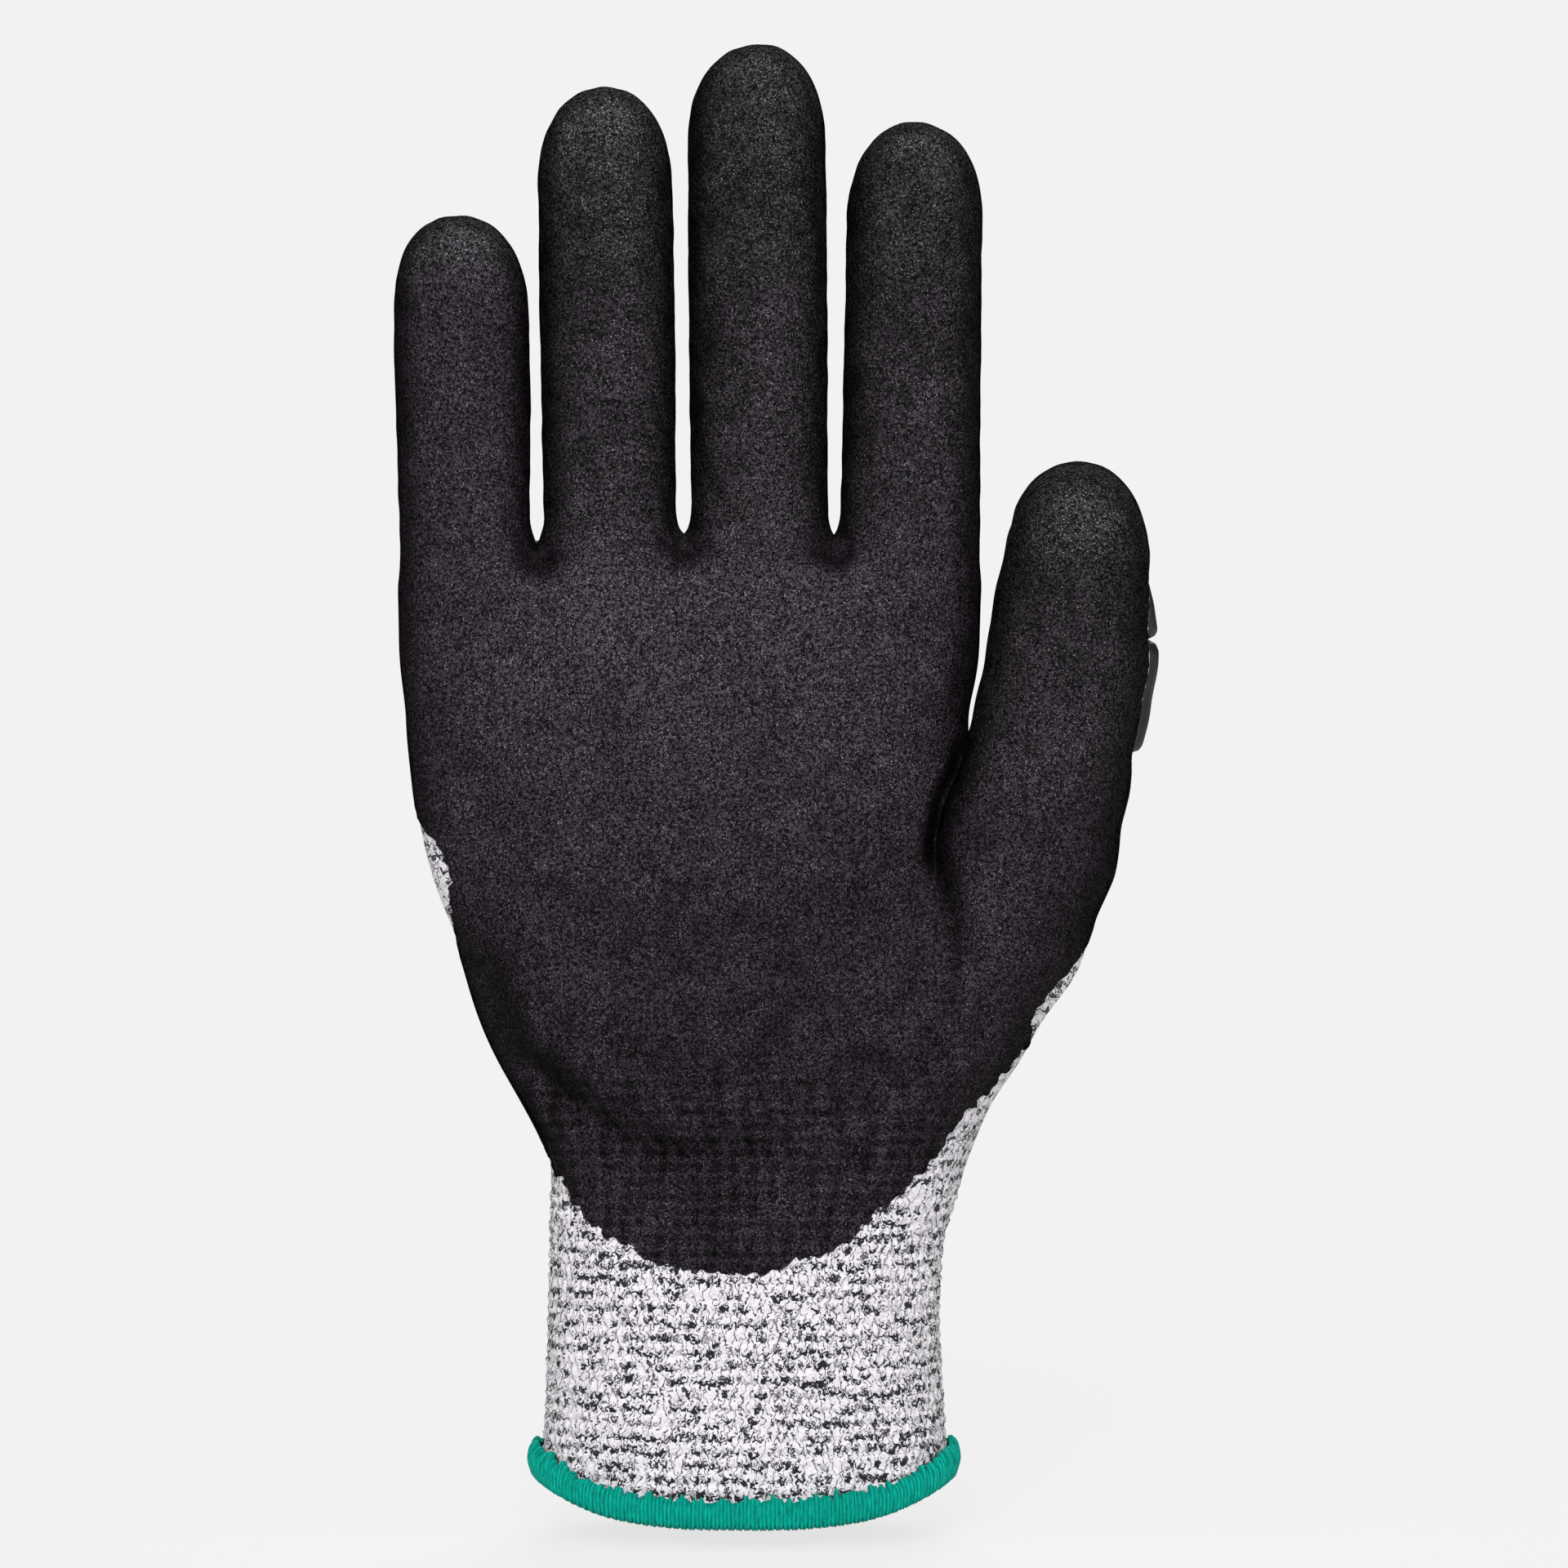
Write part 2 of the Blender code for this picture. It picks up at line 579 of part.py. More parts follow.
# ---- guards on the back of the hand ----
# name, solid it follows, then the low and high corners of its extent
BACK_GUARDS = [
    ("guard_back_radial", palm_guard_solid, (10.5, 2, 92), (29.0, 40, 141)),
    ("guard_back_middle", palm_guard_solid, (-14.0, 2, 84), (8.5, 40, 141)),
    ("guard_back_ulnar", palm_guard_solid, (-43.0, 2, 92), (-16.0, 40, 141)),
    ("guard_knuckles", knuckle_solid, (-49.5, 2, 152.5), (33.5, 40, 166.5)),
    ("guard_thumb_base", thumb_base_solid, (45.0, 4, 94), (80, 40, 126)),
]
for name, solid, low, high in BACK_GUARDS:
    pad = layer(name, solid, GAP, GAP + GUARD, RUBBER, suffix="under", extend=0)
    cut(pad, box(f"{name}_extent", low, high), operation="INTERSECT")


# ---- each moving length turns about its own origin ----
def pivot(names, point):
    """Puts the objects' origins on a joint's axis, at a point in their own coordinates."""
    point = Vector(point) * MM
    for name in names:
        obj = glove.objects[name]
        obj.data.transform(Matrix.Translation(-point))
        obj.matrix_basis = obj.matrix_basis @ Matrix.Translation(point)


def layers_of(part):
    return [f"{kind}_{part}" for kind in ("liner", "coating", "guard")]


pivot(["liner_palm", "coating_palm", "guard_back_radial", "guard_back_middle",
       "guard_back_ulnar"], (0, WRIST.y, WRIST.z))
pivot(layers_of("knuckles"), (0, KNUCKLE.y, KNUCKLE.z))
for finger, digit in FINGERS.items():
    for part, fold in zip(FINGER_PARTS, finger_folds(finger)):
        pivot(layers_of(f"{finger}_{part}"), (digit.root_x, fold.y, fold.z))
pivot(layers_of("thumb_base"), crease_mid)
pivot(layers_of("thumb_distal"), (0, THUMB_SECOND.y, THUMB_SECOND.z))
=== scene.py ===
"""A cut resistant glove that stands on its cuff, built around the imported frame.

Lengths are millimetres from the centre of the cuff opening: Z up along the fingers,
palm to -Y, back of the hand to +Y, thumb to +X. place() turns them into the frame's
metres. One smooth signed distance field describes the filled glove. The knitted liner
is its surface, and the nitrile coating is a second sheet that lies on the liner.
"""
import math
from collections import namedtuple

import bmesh
import bpy
import numpy as np
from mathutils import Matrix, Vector


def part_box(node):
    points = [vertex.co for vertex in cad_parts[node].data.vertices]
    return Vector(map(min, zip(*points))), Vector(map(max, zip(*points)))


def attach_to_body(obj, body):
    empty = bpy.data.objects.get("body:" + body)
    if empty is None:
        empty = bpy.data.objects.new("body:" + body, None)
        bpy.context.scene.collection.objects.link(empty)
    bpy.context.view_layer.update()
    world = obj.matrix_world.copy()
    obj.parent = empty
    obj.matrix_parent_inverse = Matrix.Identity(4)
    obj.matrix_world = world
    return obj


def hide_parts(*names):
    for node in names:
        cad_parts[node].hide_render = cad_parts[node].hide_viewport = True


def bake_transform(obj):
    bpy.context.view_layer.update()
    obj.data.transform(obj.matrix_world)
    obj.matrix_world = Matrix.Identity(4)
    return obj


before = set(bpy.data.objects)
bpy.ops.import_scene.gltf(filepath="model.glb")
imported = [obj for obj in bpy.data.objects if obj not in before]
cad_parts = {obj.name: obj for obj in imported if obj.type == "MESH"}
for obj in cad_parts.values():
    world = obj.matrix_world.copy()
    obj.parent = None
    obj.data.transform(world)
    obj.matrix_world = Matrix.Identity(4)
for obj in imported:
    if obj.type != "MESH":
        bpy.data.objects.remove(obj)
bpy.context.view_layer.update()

HEM_LOW, HEM_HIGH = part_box("hem_binding")
ORIGIN = np.array([(HEM_LOW[0] + HEM_HIGH[0]) * 500 - 0.2, (HEM_LOW[1] + HEM_HIGH[1]) * 500, 0.0])


# ---------------------------------------------------------------- small helpers
def place(points):
    return (np.asarray(points, float) + ORIGIN) * 0.001


def smooth(t):
    t = np.clip(t, 0, 1)
    return t * t * (3 - 2 * t)


def rise(value, start, span):
    """Goes smoothly from 0 at start to 1 a span above it."""
    return smooth((value - start) / span)


def fall(value, end, span):
    """Goes smoothly from 1 a span below the end to 0 at it."""
    return smooth((end - value) / span)


def bell(distance, width):
    return np.exp(-((distance / width) ** 2))


def spot(x, centre_x, width_x, z, centre_z, width_z):
    return np.exp(-(((x - centre_x) / width_x) ** 2) - ((z - centre_z) / width_z) ** 2)


def lerp(a, b, t):
    return a * (1 - t) + b * t


def unit(vectors):
    return vectors / np.maximum(np.linalg.norm(vectors, axis=-1, keepdims=True), 1e-9)


def smooth_min(a, b, reach):
    h = np.maximum(reach - np.abs(a - b), 0) / reach
    return np.minimum(a, b) - h * h * reach * 0.25


def smooth_max(a, b, reach):
    return -smooth_min(-a, -b, reach)


PROFILE_STEP = 0.5
PROFILE_Z = np.arange(-30, 300, PROFILE_STEP)


def profile(knots, blur):
    """A function of z through (z, value) knots, blurred by a Gaussian of that many millimetres."""
    values = np.interp(PROFILE_Z, *zip(*knots))
    reach = int(4 * blur / PROFILE_STEP)
    kernel = np.exp(-0.5 * (np.arange(-reach, reach + 1) * PROFILE_STEP / blur) ** 2)
    values = np.convolve(np.pad(values, reach, mode="edge"), kernel / kernel.sum(), "valid")
    return lambda z: np.interp(z, PROFILE_Z, values)


# ---------------------------------------------------------------- shape of the hand
# (z, value): the outline's two sides, then half depth, middle y and roundness of the section
left_edge = profile([
    (-30, -34.2), (0, -34.2), (13, -33.7), (20.5, -33.2), (36, -32.8), (52, -32.4), (60, -32.0),
    (64, -32.4), (67.9, -34.2), (73.4, -37.2), (78.9, -40.4), (84.4, -43.0), (89.9, -44.9),
    (95.4, -46.4), (100.9, -48.2), (106.4, -50.7), (112, -52.5), (117.5, -53.8), (123, -54.6),
    (128.5, -55.2), (134, -55.8), (145, -56.1), (156, -56.4), (167, -56.7), (200, -56.8)], blur=2.2)
right_edge = profile([
    (-30, 34.6), (0, 34.6), (15, 34.1), (25.7, 33.4), (36.2, 32.9), (46.8, 33.4), (56.9, 34.3),
    (62.4, 34.3), (70, 34.6), (80, 36.2), (100, 37.6), (120, 37.4), (139.5, 36.9), (150.5, 37.7),
    (161.5, 38.5), (167, 38.8), (200, 38.9)], blur=2.2)
half_depth = profile([
    (-30, 18.4), (20, 18.2), (45, 17.6), (62, 16.4), (74, 16.0), (90, 16.0), (106, 15.8),
    (120, 15.0), (139.5, 13.6), (150.5, 12.7), (161, 11.5), (167, 10.7), (200, 10.4)], blur=4)
middle_y = profile([
    (-30, 0), (45, 0.3), (62, 0.9), (74, 0.6), (90, -0.2), (106, -0.3), (120, -0.2), (139, -0.6),
    (150, -0.8), (167, -1.0), (200, -1.0)], blur=4)
oval_power = profile([(-30, 2.3), (50, 2.35), (80, 2.45), (200, 2.6)], blur=6)
PALM_TOP, PALM_CAP = 166.4, 8.0      # top of the palm, height of its rounding

# widths and depths are half sizes at root, middle and tip; folds and splits are heights of
# the two joints and of the cuts between pieces; root_end is the top of the span listed for the root's
# fold
Finger = namedtuple("Finger", "root_x tip_x widths depths tip_z folds splits root_end")
FINGERS = {
    "little": Finger(-46.9, -47.5, (9.9, 10.4, 10.2), (9.0, 8.9, 8.6), 219.7,
                     (189.0, 205.0), (181.6, 198.2), 181.0),
    "ring": Finger(-22.4, -23.3, (10.1, 10.4, 10.2), (9.5, 9.4, 9.1), 240.9,
                   (194.5, 217.5), (184.8, 206.0), 182.0),
    "middle": Finger(2.8, 2.2, (10.5, 10.7, 10.5), (9.8, 9.7, 9.4), 248.1,
                     (197.0, 222.5), (186.0, 209.8), 182.0),
    "index": Finger(28.1, 29.0, (10.8, 10.5, 10.3), (9.6, 9.5, 9.2), 235.1,
                    (193.5, 214.5), (184.3, 204.0), 182.0),
}
ROOT_Z, ROOT_Y, CURL = 166.0, -1.0, 5.0      # finger axes start here and lean CURL to the palm
TIP = 15.2                                   # length of a finger's rounded end
FINGER_REACH = 12.6                          # points this near an axis in x are the finger's
WEBS = [(-34.4, 166.0), (-9.9, 167.0), (15.3, 166.6)]      # x, z of the gaps between fingers

# the thumb as a chain of balls: x, y, z, radius
THUMB = np.array([
    (20.5, 0.0, 70.0, 15.6), (32.0, -1.6, 87.5, 15.9), (41.2, -3.6, 101.5, 15.6),
    (47.0, -5.8, 115.0, 14.5), (50.3, -7.8, 126.5, 12.9), (52.8, -9.2, 138.0, 12.5),
    (54.4, -9.8, 147.0, 12.4), (55.2, -10.3, 156.0, 11.7), (55.7, -10.9, 164.0, 10.7),
    (55.8, -11.2, 168.6, 9.7)])
# the thumb's own axes start at its lower joint; it is turned so that its back faces sideways
THUMB_FOLD = np.array([52.9, -9.2, 137.5])
THUMB_AIM = unit(np.array([0.085, -0.06, 1.0]))
THUMB_TURN = math.radians(35)
THUMB_SIDE = np.array([math.cos(THUMB_TURN), -math.sin(THUMB_TURN), 0.0])
THUMB_SIDE = unit(THUMB_SIDE - THUMB_AIM * (THUMB_SIDE @ THUMB_AIM))
THUMB_BACK = np.cross(THUMB_AIM, THUMB_SIDE)


def section(z):
    """The hand's section: centre x and y, half width, half depth and power of its oval."""
    left, right = left_edge(z), right_edge(z)
    return (left + right) / 2, middle_y(z), (right - left) / 2, half_depth(z), oval_power(z)


def oval_distance(x, y, a, b, power, w, c):
    """Rough distance to a superellipsoid with half sizes a, b, c; w is z already divided by c."""
    u, v = np.abs(x) / a, np.abs(y) / b
    u_slope, v_slope, w_slope = u ** (power - 1), v ** (power - 1), w ** (power - 1)
    total = np.maximum(u_slope * u + v_slope * v + w_slope * w, 1e-9)
    square = (u_slope / a) ** 2 + (v_slope / b) ** 2 + (w_slope / c) ** 2
    f = total ** (1 / power)
    slope = np.sqrt(square) * f ** (1 - power)
    return (f - 1) / np.maximum(slope, 1 / np.maximum(a, b))


def along_finger(values, t):
    return np.interp(np.clip(t, 0, 1) * 2, (0, 1, 2), values)


def finger_axis(finger, z):
    """Centre x and y of a finger at height z, and how far along it that is."""
    t = (z - ROOT_Z) / (finger.tip_z - ROOT_Z)
    bent = np.maximum(t, 0)
    centre_x = finger.root_x + (finger.tip_x - finger.root_x) * t
    return centre_x, ROOT_Y - CURL * bent * bent, t


def web_fill(x, y, z):
    """The gaps between the fingers narrow to a point at the webs."""
    out = np.zeros(np.shape(z))
    for web_x, web_z in WEBS:
        out = out + bell(x - web_x, 4.0) * fall(z, web_z + 4.9, 7.3)
    return 1.55 * out * np.clip(1 - (y / 9.0) ** 2, 0, 1)


def finger_distance(finger, x, y, z):
    centre_x, centre_y, t = finger_axis(finger, z)
    over = np.maximum(z - (finger.tip_z - TIP), 0) / TIP + np.maximum(150.0 - z, 0) / TIP
    oval = oval_distance(x - centre_x, y - centre_y, along_finger(finger.widths, t),
                         along_finger(finger.depths, t), 2.25, over, TIP)
    return oval - web_fill(x, y, z)


def hand_distance(x, y, z):
    centre_x, centre_y, half_x, half_y, power = section(z)
    top = PALM_TOP - 1.9 * bell(x - WEBS[0][0], 4.5)
    over = np.maximum(z - (top - PALM_CAP), 0) / PALM_CAP
    return oval_distance(x - centre_x, y - centre_y, half_x, half_y, power, over, PALM_CAP)


def thumb_distance(x, y, z):
    points = np.stack([x, y, z], -1)
    best = None
    for a, b in zip(THUMB, THUMB[1:]):
        bone = b[:3] - a[:3]
        t = np.clip(((points - a[:3]) @ bone) / (bone @ bone), 0, 1)
        d = np.linalg.norm(points - (a[:3] + t[..., None] * bone), axis=-1)
        d = d - (a[3] + (b[3] - a[3]) * t)
        best = d if best is None else smooth_min(best, d, 2.0)
    return best


def on_thumb(points):
    """True for points on the thumb rather than on the hand or the index finger."""
    x, y, z = points.T
    out = np.zeros(len(points), bool)
    near = (x > 33) & (z > 118) & (z < 188)
    if near.any():
        spots = x[near], y[near], z[near]
        other = np.minimum(hand_distance(*spots), finger_distance(FINGERS["index"], *spots))
        out[near] = thumb_distance(*spots) < other
    return out


def line_distance(x, z, line):
    """Distance in XZ to a line of points, how far along it (0 to 1), and the side.

    The side is positive above a line that runs to +X.
    """
    line = np.array(line, float)
    steps = np.diff(line, axis=0)
    length = np.concatenate([[0], np.cumsum(np.linalg.norm(steps, axis=1))])
    nearest = np.full(np.shape(x), np.inf)
    along, side = np.zeros(np.shape(x)), np.zeros(np.shape(x))
    for i, ((start_x, start_z), (dx, dz)) in enumerate(zip(line, steps)):
        t = np.clip(((x - start_x) * dx + (z - start_z) * dz) / (dx * dx + dz * dz), 0, 1)
        off_x, off_z = x - (start_x + t * dx), z - (start_z + t * dz)
        d = np.sqrt(off_x * off_x + off_z * off_z)
        closer = d < nearest
        here = (length[i] + t * (length[i + 1] - length[i])) / length[-1]
        nearest = np.where(closer, d, nearest)
        along = np.where(closer, here, along)
        side = np.where(closer, np.sign(dx * off_z - dz * off_x), side)
    return nearest, along, side


# ---------------------------------------------------------------- folds and swells
# folds of the palm side as x, z points
THENAR_FOLD = [(36.8, 132.0), (35.3, 127.4), (33.1, 122.6), (32.0, 115.9), (33.3, 107.1),
               (34.9, 100.5), (34.1, 91.7), (32.4, 85.5)]
HEEL_FOLD = [(-43.2, 94.0), (-39.5, 81.0), (-31.0, 75.2), (-23.6, 68.9), (-15.8, 65.2),
             (-5.0, 64.2), (5.0, 65.2), (14.0, 70.0), (22.0, 78.0), (28.0, 85.5)]
CROSS_FOLD = [(-47.0, 116.5), (-38.0, 119.6), (-20.0, 121.0), (0.0, 121.2), (16.0, 120.6),
              (28.0, 119.0)]
# points, depth, width
FINE_FOLDS = [
    ([(33.3, 99.0), (28.5, 95.0), (24.5, 88.5)], 0.35, 1.6),
    ([(38.4, 98.0), (39.8, 91.0), (39.4, 83.0)], 0.75, 1.9),
    ([(-46.0, 132.0), (-44.0, 122.0), (-45.5, 112.0), (-43.0, 101.0)], 0.35, 2.4),
    ([(-40.5, 92.0), (-36.0, 83.0), (-29.0, 74.5)], 0.7, 2.4),
    ([(-27.5, 66.0), (-21.0, 61.0), (-12.0, 58.5)], 0.35, 2.2),
    ([(37.8, 150.0), (36.0, 141.0), (35.4, 133.0)], 0.5, 1.8)]
# height, then centre and width in x and in z
PALM_SPOTS = [
    (0.8, 36.4, 2.0, 90.5, 6.0),         # small swell at the foot of the thumb's fold
    (1.5, 41.5, 7.5, 104, 17.0),         # ball of the thumb
    (-1.1, -6, 22.0, 108, 26.0)]         # hollow of the palm
for web_x, web_z in WEBS:                # creases at each web and below it
    PALM_SPOTS += [(-2.2, web_x + 0.4, 2.3, web_z - 2.6, 2.9), (-0.5, web_x, 2.6, web_z - 8.0, 8.0)]


def relief(x, y, z):
    """Outward swell of the palm side, and slight unevenness all round the fingers."""
    out = np.zeros_like(x)
    for height, centre_x, width_x, centre_z, width_z in PALM_SPOTS:
        out += height * spot(x, centre_x, width_x, z, centre_z, width_z)

    d, along, _ = line_distance(x, z, THENAR_FOLD)
    depth = np.interp(along, (0, 0.08, 0.3, 0.45, 0.6, 0.85, 1), (3.0, 3.4, 3.6, 2.7, 2.1, 1.3, 0.2))
    out -= depth * bell(d, np.interp(along, (0, 0.35, 0.6, 1), (1.3, 1.5, 3.0, 2.6)))

    # the heel's fold has a swell above it
    d, along, _ = line_distance(x, z, HEEL_FOLD)
    fade = np.interp(along, (0, 0.12, 0.5, 0.85, 1), (0.5, 1.2, 1.1, 0.8, 0.2))
    out -= fade * 1.5 * bell(d, 2.9)
    out += fade * 0.9 * bell(d - 8.5, 6.0) * rise(z, 61, 12)

    d, along, _ = line_distance(x, z, CROSS_FOLD)
    fade = np.sin(np.pi * np.clip(along, 0.02, 0.98))
    out += 0.22 * bell(d - 3.2, 2.4) * fade - 0.34 * bell(d, 1.3) * fade ** 0.5
    for line, depth, width in FINE_FOLDS:
        d, along, _ = line_distance(x, z, line)
        out -= depth * bell(d, width) * np.sin(np.pi * np.clip(along, 0.03, 0.97)) ** 0.6

    # slow unevenness of cloth on a form
    out += 0.16 * np.sin(x * 0.21 + z * 0.09) * np.sin(z * 0.17 - x * 0.05)
    out += 0.10 * np.sin(x * 0.43 - 1.3) * np.sin(z * 0.31 + 0.4)
    out *= fall(y, -3.0, 6.0)
    uneven = 0.08 * np.sin(z * 0.43 + x * 0.9) * np.sin(x * 0.7 + y * 0.8 + z * 0.23)
    uneven += 0.04 * np.sin(z * 1.13 + 0.7 * x + 2.0) * np.sin(y * 1.1 - x * 0.4)
    return out + rise(z, 150, 20) * uneven


def back_relief(x, y, z):
    """Knuckles and the ridges below them."""
    out = np.zeros_like(x)
    for finger in FINGERS.values():
        out += 0.9 * spot(x, finger.root_x, 7.5, z, 152, 9.0)
        out += 0.35 * spot(x, finger.root_x * 0.8, 5.5, z, 122, 24.0)
    out += 0.2 * np.sin(x * 0.23 + 0.5) * np.sin(z * 0.14 + 1.0)
    return out * rise(y, 2.0, 5.0)


def field(points):
    """Signed distance to the liner, positive outside."""
    x, y, z = np.moveaxis(points, -1, 0)
    # the thumb melts into the hand at its foot and parts from it higher up
    thumb_melt = np.interp(z, (66, 84, 104, 120, 130, 134), (12.0, 9.0, 5.0, 2.6, 1.4, 0.5))
    hand = smooth_min(hand_distance(x, y, z), thumb_distance(x, y, z), thumb_melt)
    whole = None
    for finger in FINGERS.values():
        d = smooth_min(hand, finger_distance(finger, x, y, z), 2.3)
        whole = d if whole is None else np.minimum(whole, d)
    near = np.abs(whole) < 8
    if near.any():
        swell = np.zeros_like(whole)
        spots = x[near], y[near], z[near]
        swell[near] = relief(*spots) + back_relief(*spots)
        whole = whole - swell
    return whole - 0.45 * rise(z, 46, 26)


def gradient(points, reach=0.15):
    out = np.empty_like(points)
    for i, shift in enumerate(np.eye(3) * reach):
        out[:, i] = field(points + shift) - field(points - shift)
    return out / (2 * reach)


# ---------------------------------------------------------------- the skin, a net of quads
def settle(points, steps=2):
    """Moves points on to the surface."""
    for _ in range(steps):
        slope = gradient(points)
        square = np.maximum((slope * slope).sum(1), 0.05)
        step = (field(points) / square)[:, None] * slope
        length = np.linalg.norm(step, axis=1, keepdims=True)
        points = points - step * np.minimum(1, 0.8 / np.maximum(length, 1e-9))
    return points


def skin(pitch):
    """Points and quads where the field crosses zero in a grid of cubes."""
    grid_x, grid_y = np.arange(-62, 74, pitch), np.arange(-28, 24, pitch)
    grid_z = np.arange(39.5, 253, pitch)
    grid = np.empty((len(grid_x), len(grid_y), len(grid_z)), np.float32)
    flat_x, flat_y = np.meshgrid(grid_x, grid_y, indexing="ij")
    for k, z in enumerate(grid_z):
        grid[:, :, k] = field(np.stack([flat_x, flat_y, np.full_like(flat_x, z)], -1))
    inside = grid < 0

    # one point in each cube that the surface passes, at the mean of the crossed edges
    shape = [n - 1 for n in grid.shape]
    count, total = np.zeros(shape, np.int32), np.zeros([*shape, 3])
    corners = [(i, j, k) for i in (0, 1) for j in (0, 1) for k in (0, 1)]
    edges = [(a, b) for a in corners for b in corners
             if a < b and sum(abs(m - n) for m, n in zip(a, b)) == 1]

    def at_corner(corner):
        return grid[tuple(slice(c, c + n) for c, n in zip(corner, shape))]

    for a, b in edges:
        field_a, field_b = at_corner(a), at_corner(b)
        cross = (field_a < 0) != (field_b < 0)
        t = np.where(cross, field_a / np.where(cross, field_a - field_b, 1), 0)
        for i in range(3):
            total[..., i] += np.where(cross, a[i] + (b[i] - a[i]) * t, 0)
        count += cross
    live = count > 0
    index = -np.ones(shape, np.int64)
    index[live] = np.arange(live.sum())
    first = np.array([grid_x[0], grid_y[0], grid_z[0]])
    points = (np.argwhere(live) + total[live] / count[live][:, None]) * pitch + first

    # one quad round each grid edge that changes sign
    quads = []
    for axis in range(3):
        a, b = [i for i in range(3) if i != axis]
        low, high = [slice(None)] * 3, [slice(None)] * 3
        low[axis], high[axis] = slice(0, -1), slice(1, None)
        at = np.argwhere(inside[tuple(low)] != inside[tuple(high)])
        at = at[(at[:, a] > 0) & (at[:, b] > 0) & (at[:, a] < shape[a]) & (at[:, b] < shape[b])]
        ring = []
        for da, db in ((0, 0), (1, 0), (1, 1), (0, 1)):
            cube = at.copy()
            cube[:, a] -= da
            cube[:, b] -= db
            ring.append(index[tuple(cube.T)])
        ring = np.stack(ring, 1)
        start_in = inside[tuple(at.T)]
        order = start_in if axis != 1 else ~start_in
        ring[~order] = ring[~order][:, ::-1]
        quads.append(ring)
    quads = np.concatenate(quads)
    return points, quads[(quads >= 0).all(1)]


def relax(points, quads, rounds=2):
    """Evens out the net; its border stays."""
    size = len(points)
    edges = np.concatenate([quads[:, [i, (i + 1) % 4]] for i in range(4)])
    count = np.bincount(edges.ravel(), minlength=size)
    ends = np.sort(edges, 1)
    key, uses = np.unique(ends[:, 0] * size + ends[:, 1], return_counts=True)
    lone = key[uses == 1]
    border = np.zeros(size, bool)
    border[lone // size] = True
    border[lone % size] = True
    for _ in range(rounds):
        mean = np.zeros_like(points)
        for i in range(3):
            mean[:, i] = (np.bincount(edges[:, 0], points[edges[:, 1], i], size)
                          + np.bincount(edges[:, 1], points[edges[:, 0], i], size))
        mean /= np.maximum(count, 1)[:, None]
        points = np.where(border[:, None], points, points + 0.6 * (mean - points))
    return points


SKIN_STEP = 0.9
verts, quads = skin(SKIN_STEP)
for _ in range(2):
    verts = settle(relax(verts, quads))
normals = unit(gradient(verts))
# every quad faces out
face_normals = np.cross(verts[quads[:, 2]] - verts[quads[:, 0]], verts[quads[:, 3]] - verts[quads[:, 1]])
wrong = (face_normals * normals[quads[:, 0]]).sum(1) < 0
quads[wrong] = quads[wrong][:, ::-1]


# ---------------------------------------------------------------- where the coating ends
COURSE, WALE = 2.34, 3.1      # height and width of a stitch
# (z, y) of the coating's edge on the two sides of the hand
cut_left = profile([
    (-30, 2), (60, 1.0), (66, 2.4), (80, 2.6), (93, 1.6), (97, -0.4), (99.5, -3.8), (103.7, -6.2),
    (109, -8.3), (114.7, -8.3), (118, -5.2), (120.8, -1.5), (125, 1.5), (135, 4.0), (300, 4.0)],
    blur=1.2)
cut_right = profile([
    (-30, 2), (70, 0.0), (79.0, -0.6), (82, -6.0), (85.5, -11.2), (89, -12.8), (94, -12.4),
    (98, -9.4), (102, -3.8), (106, -0.4), (111, 1.8), (118, 3.0), (135, 3.5), (300, 3.5)], blur=1.5)
# (x, z) of the rounded tongue that the coating makes on the palm side of the cuff
TONGUE = [
    (-60, 60.5), (-36, 62.0), (-33.0, 62.0), (-31.6, 61.0), (-29.6, 58.4), (-27.4, 54.6),
    (-23.4, 51.2), (-17.8, 48.6), (-14.6, 46.2), (-11.0, 46.0), (-7.2, 45.2), (-1.5, 44.7),
    (5.0, 44.9), (9.1, 47.0), (14.0, 48.0), (18.0, 50.4), (22.0, 54.9), (26.0, 57.6),
    (30.3, 62.0), (33.3, 65.9), (35.4, 69.4), (40.9, 74.8), (45.9, 80.2), (60, 95)]


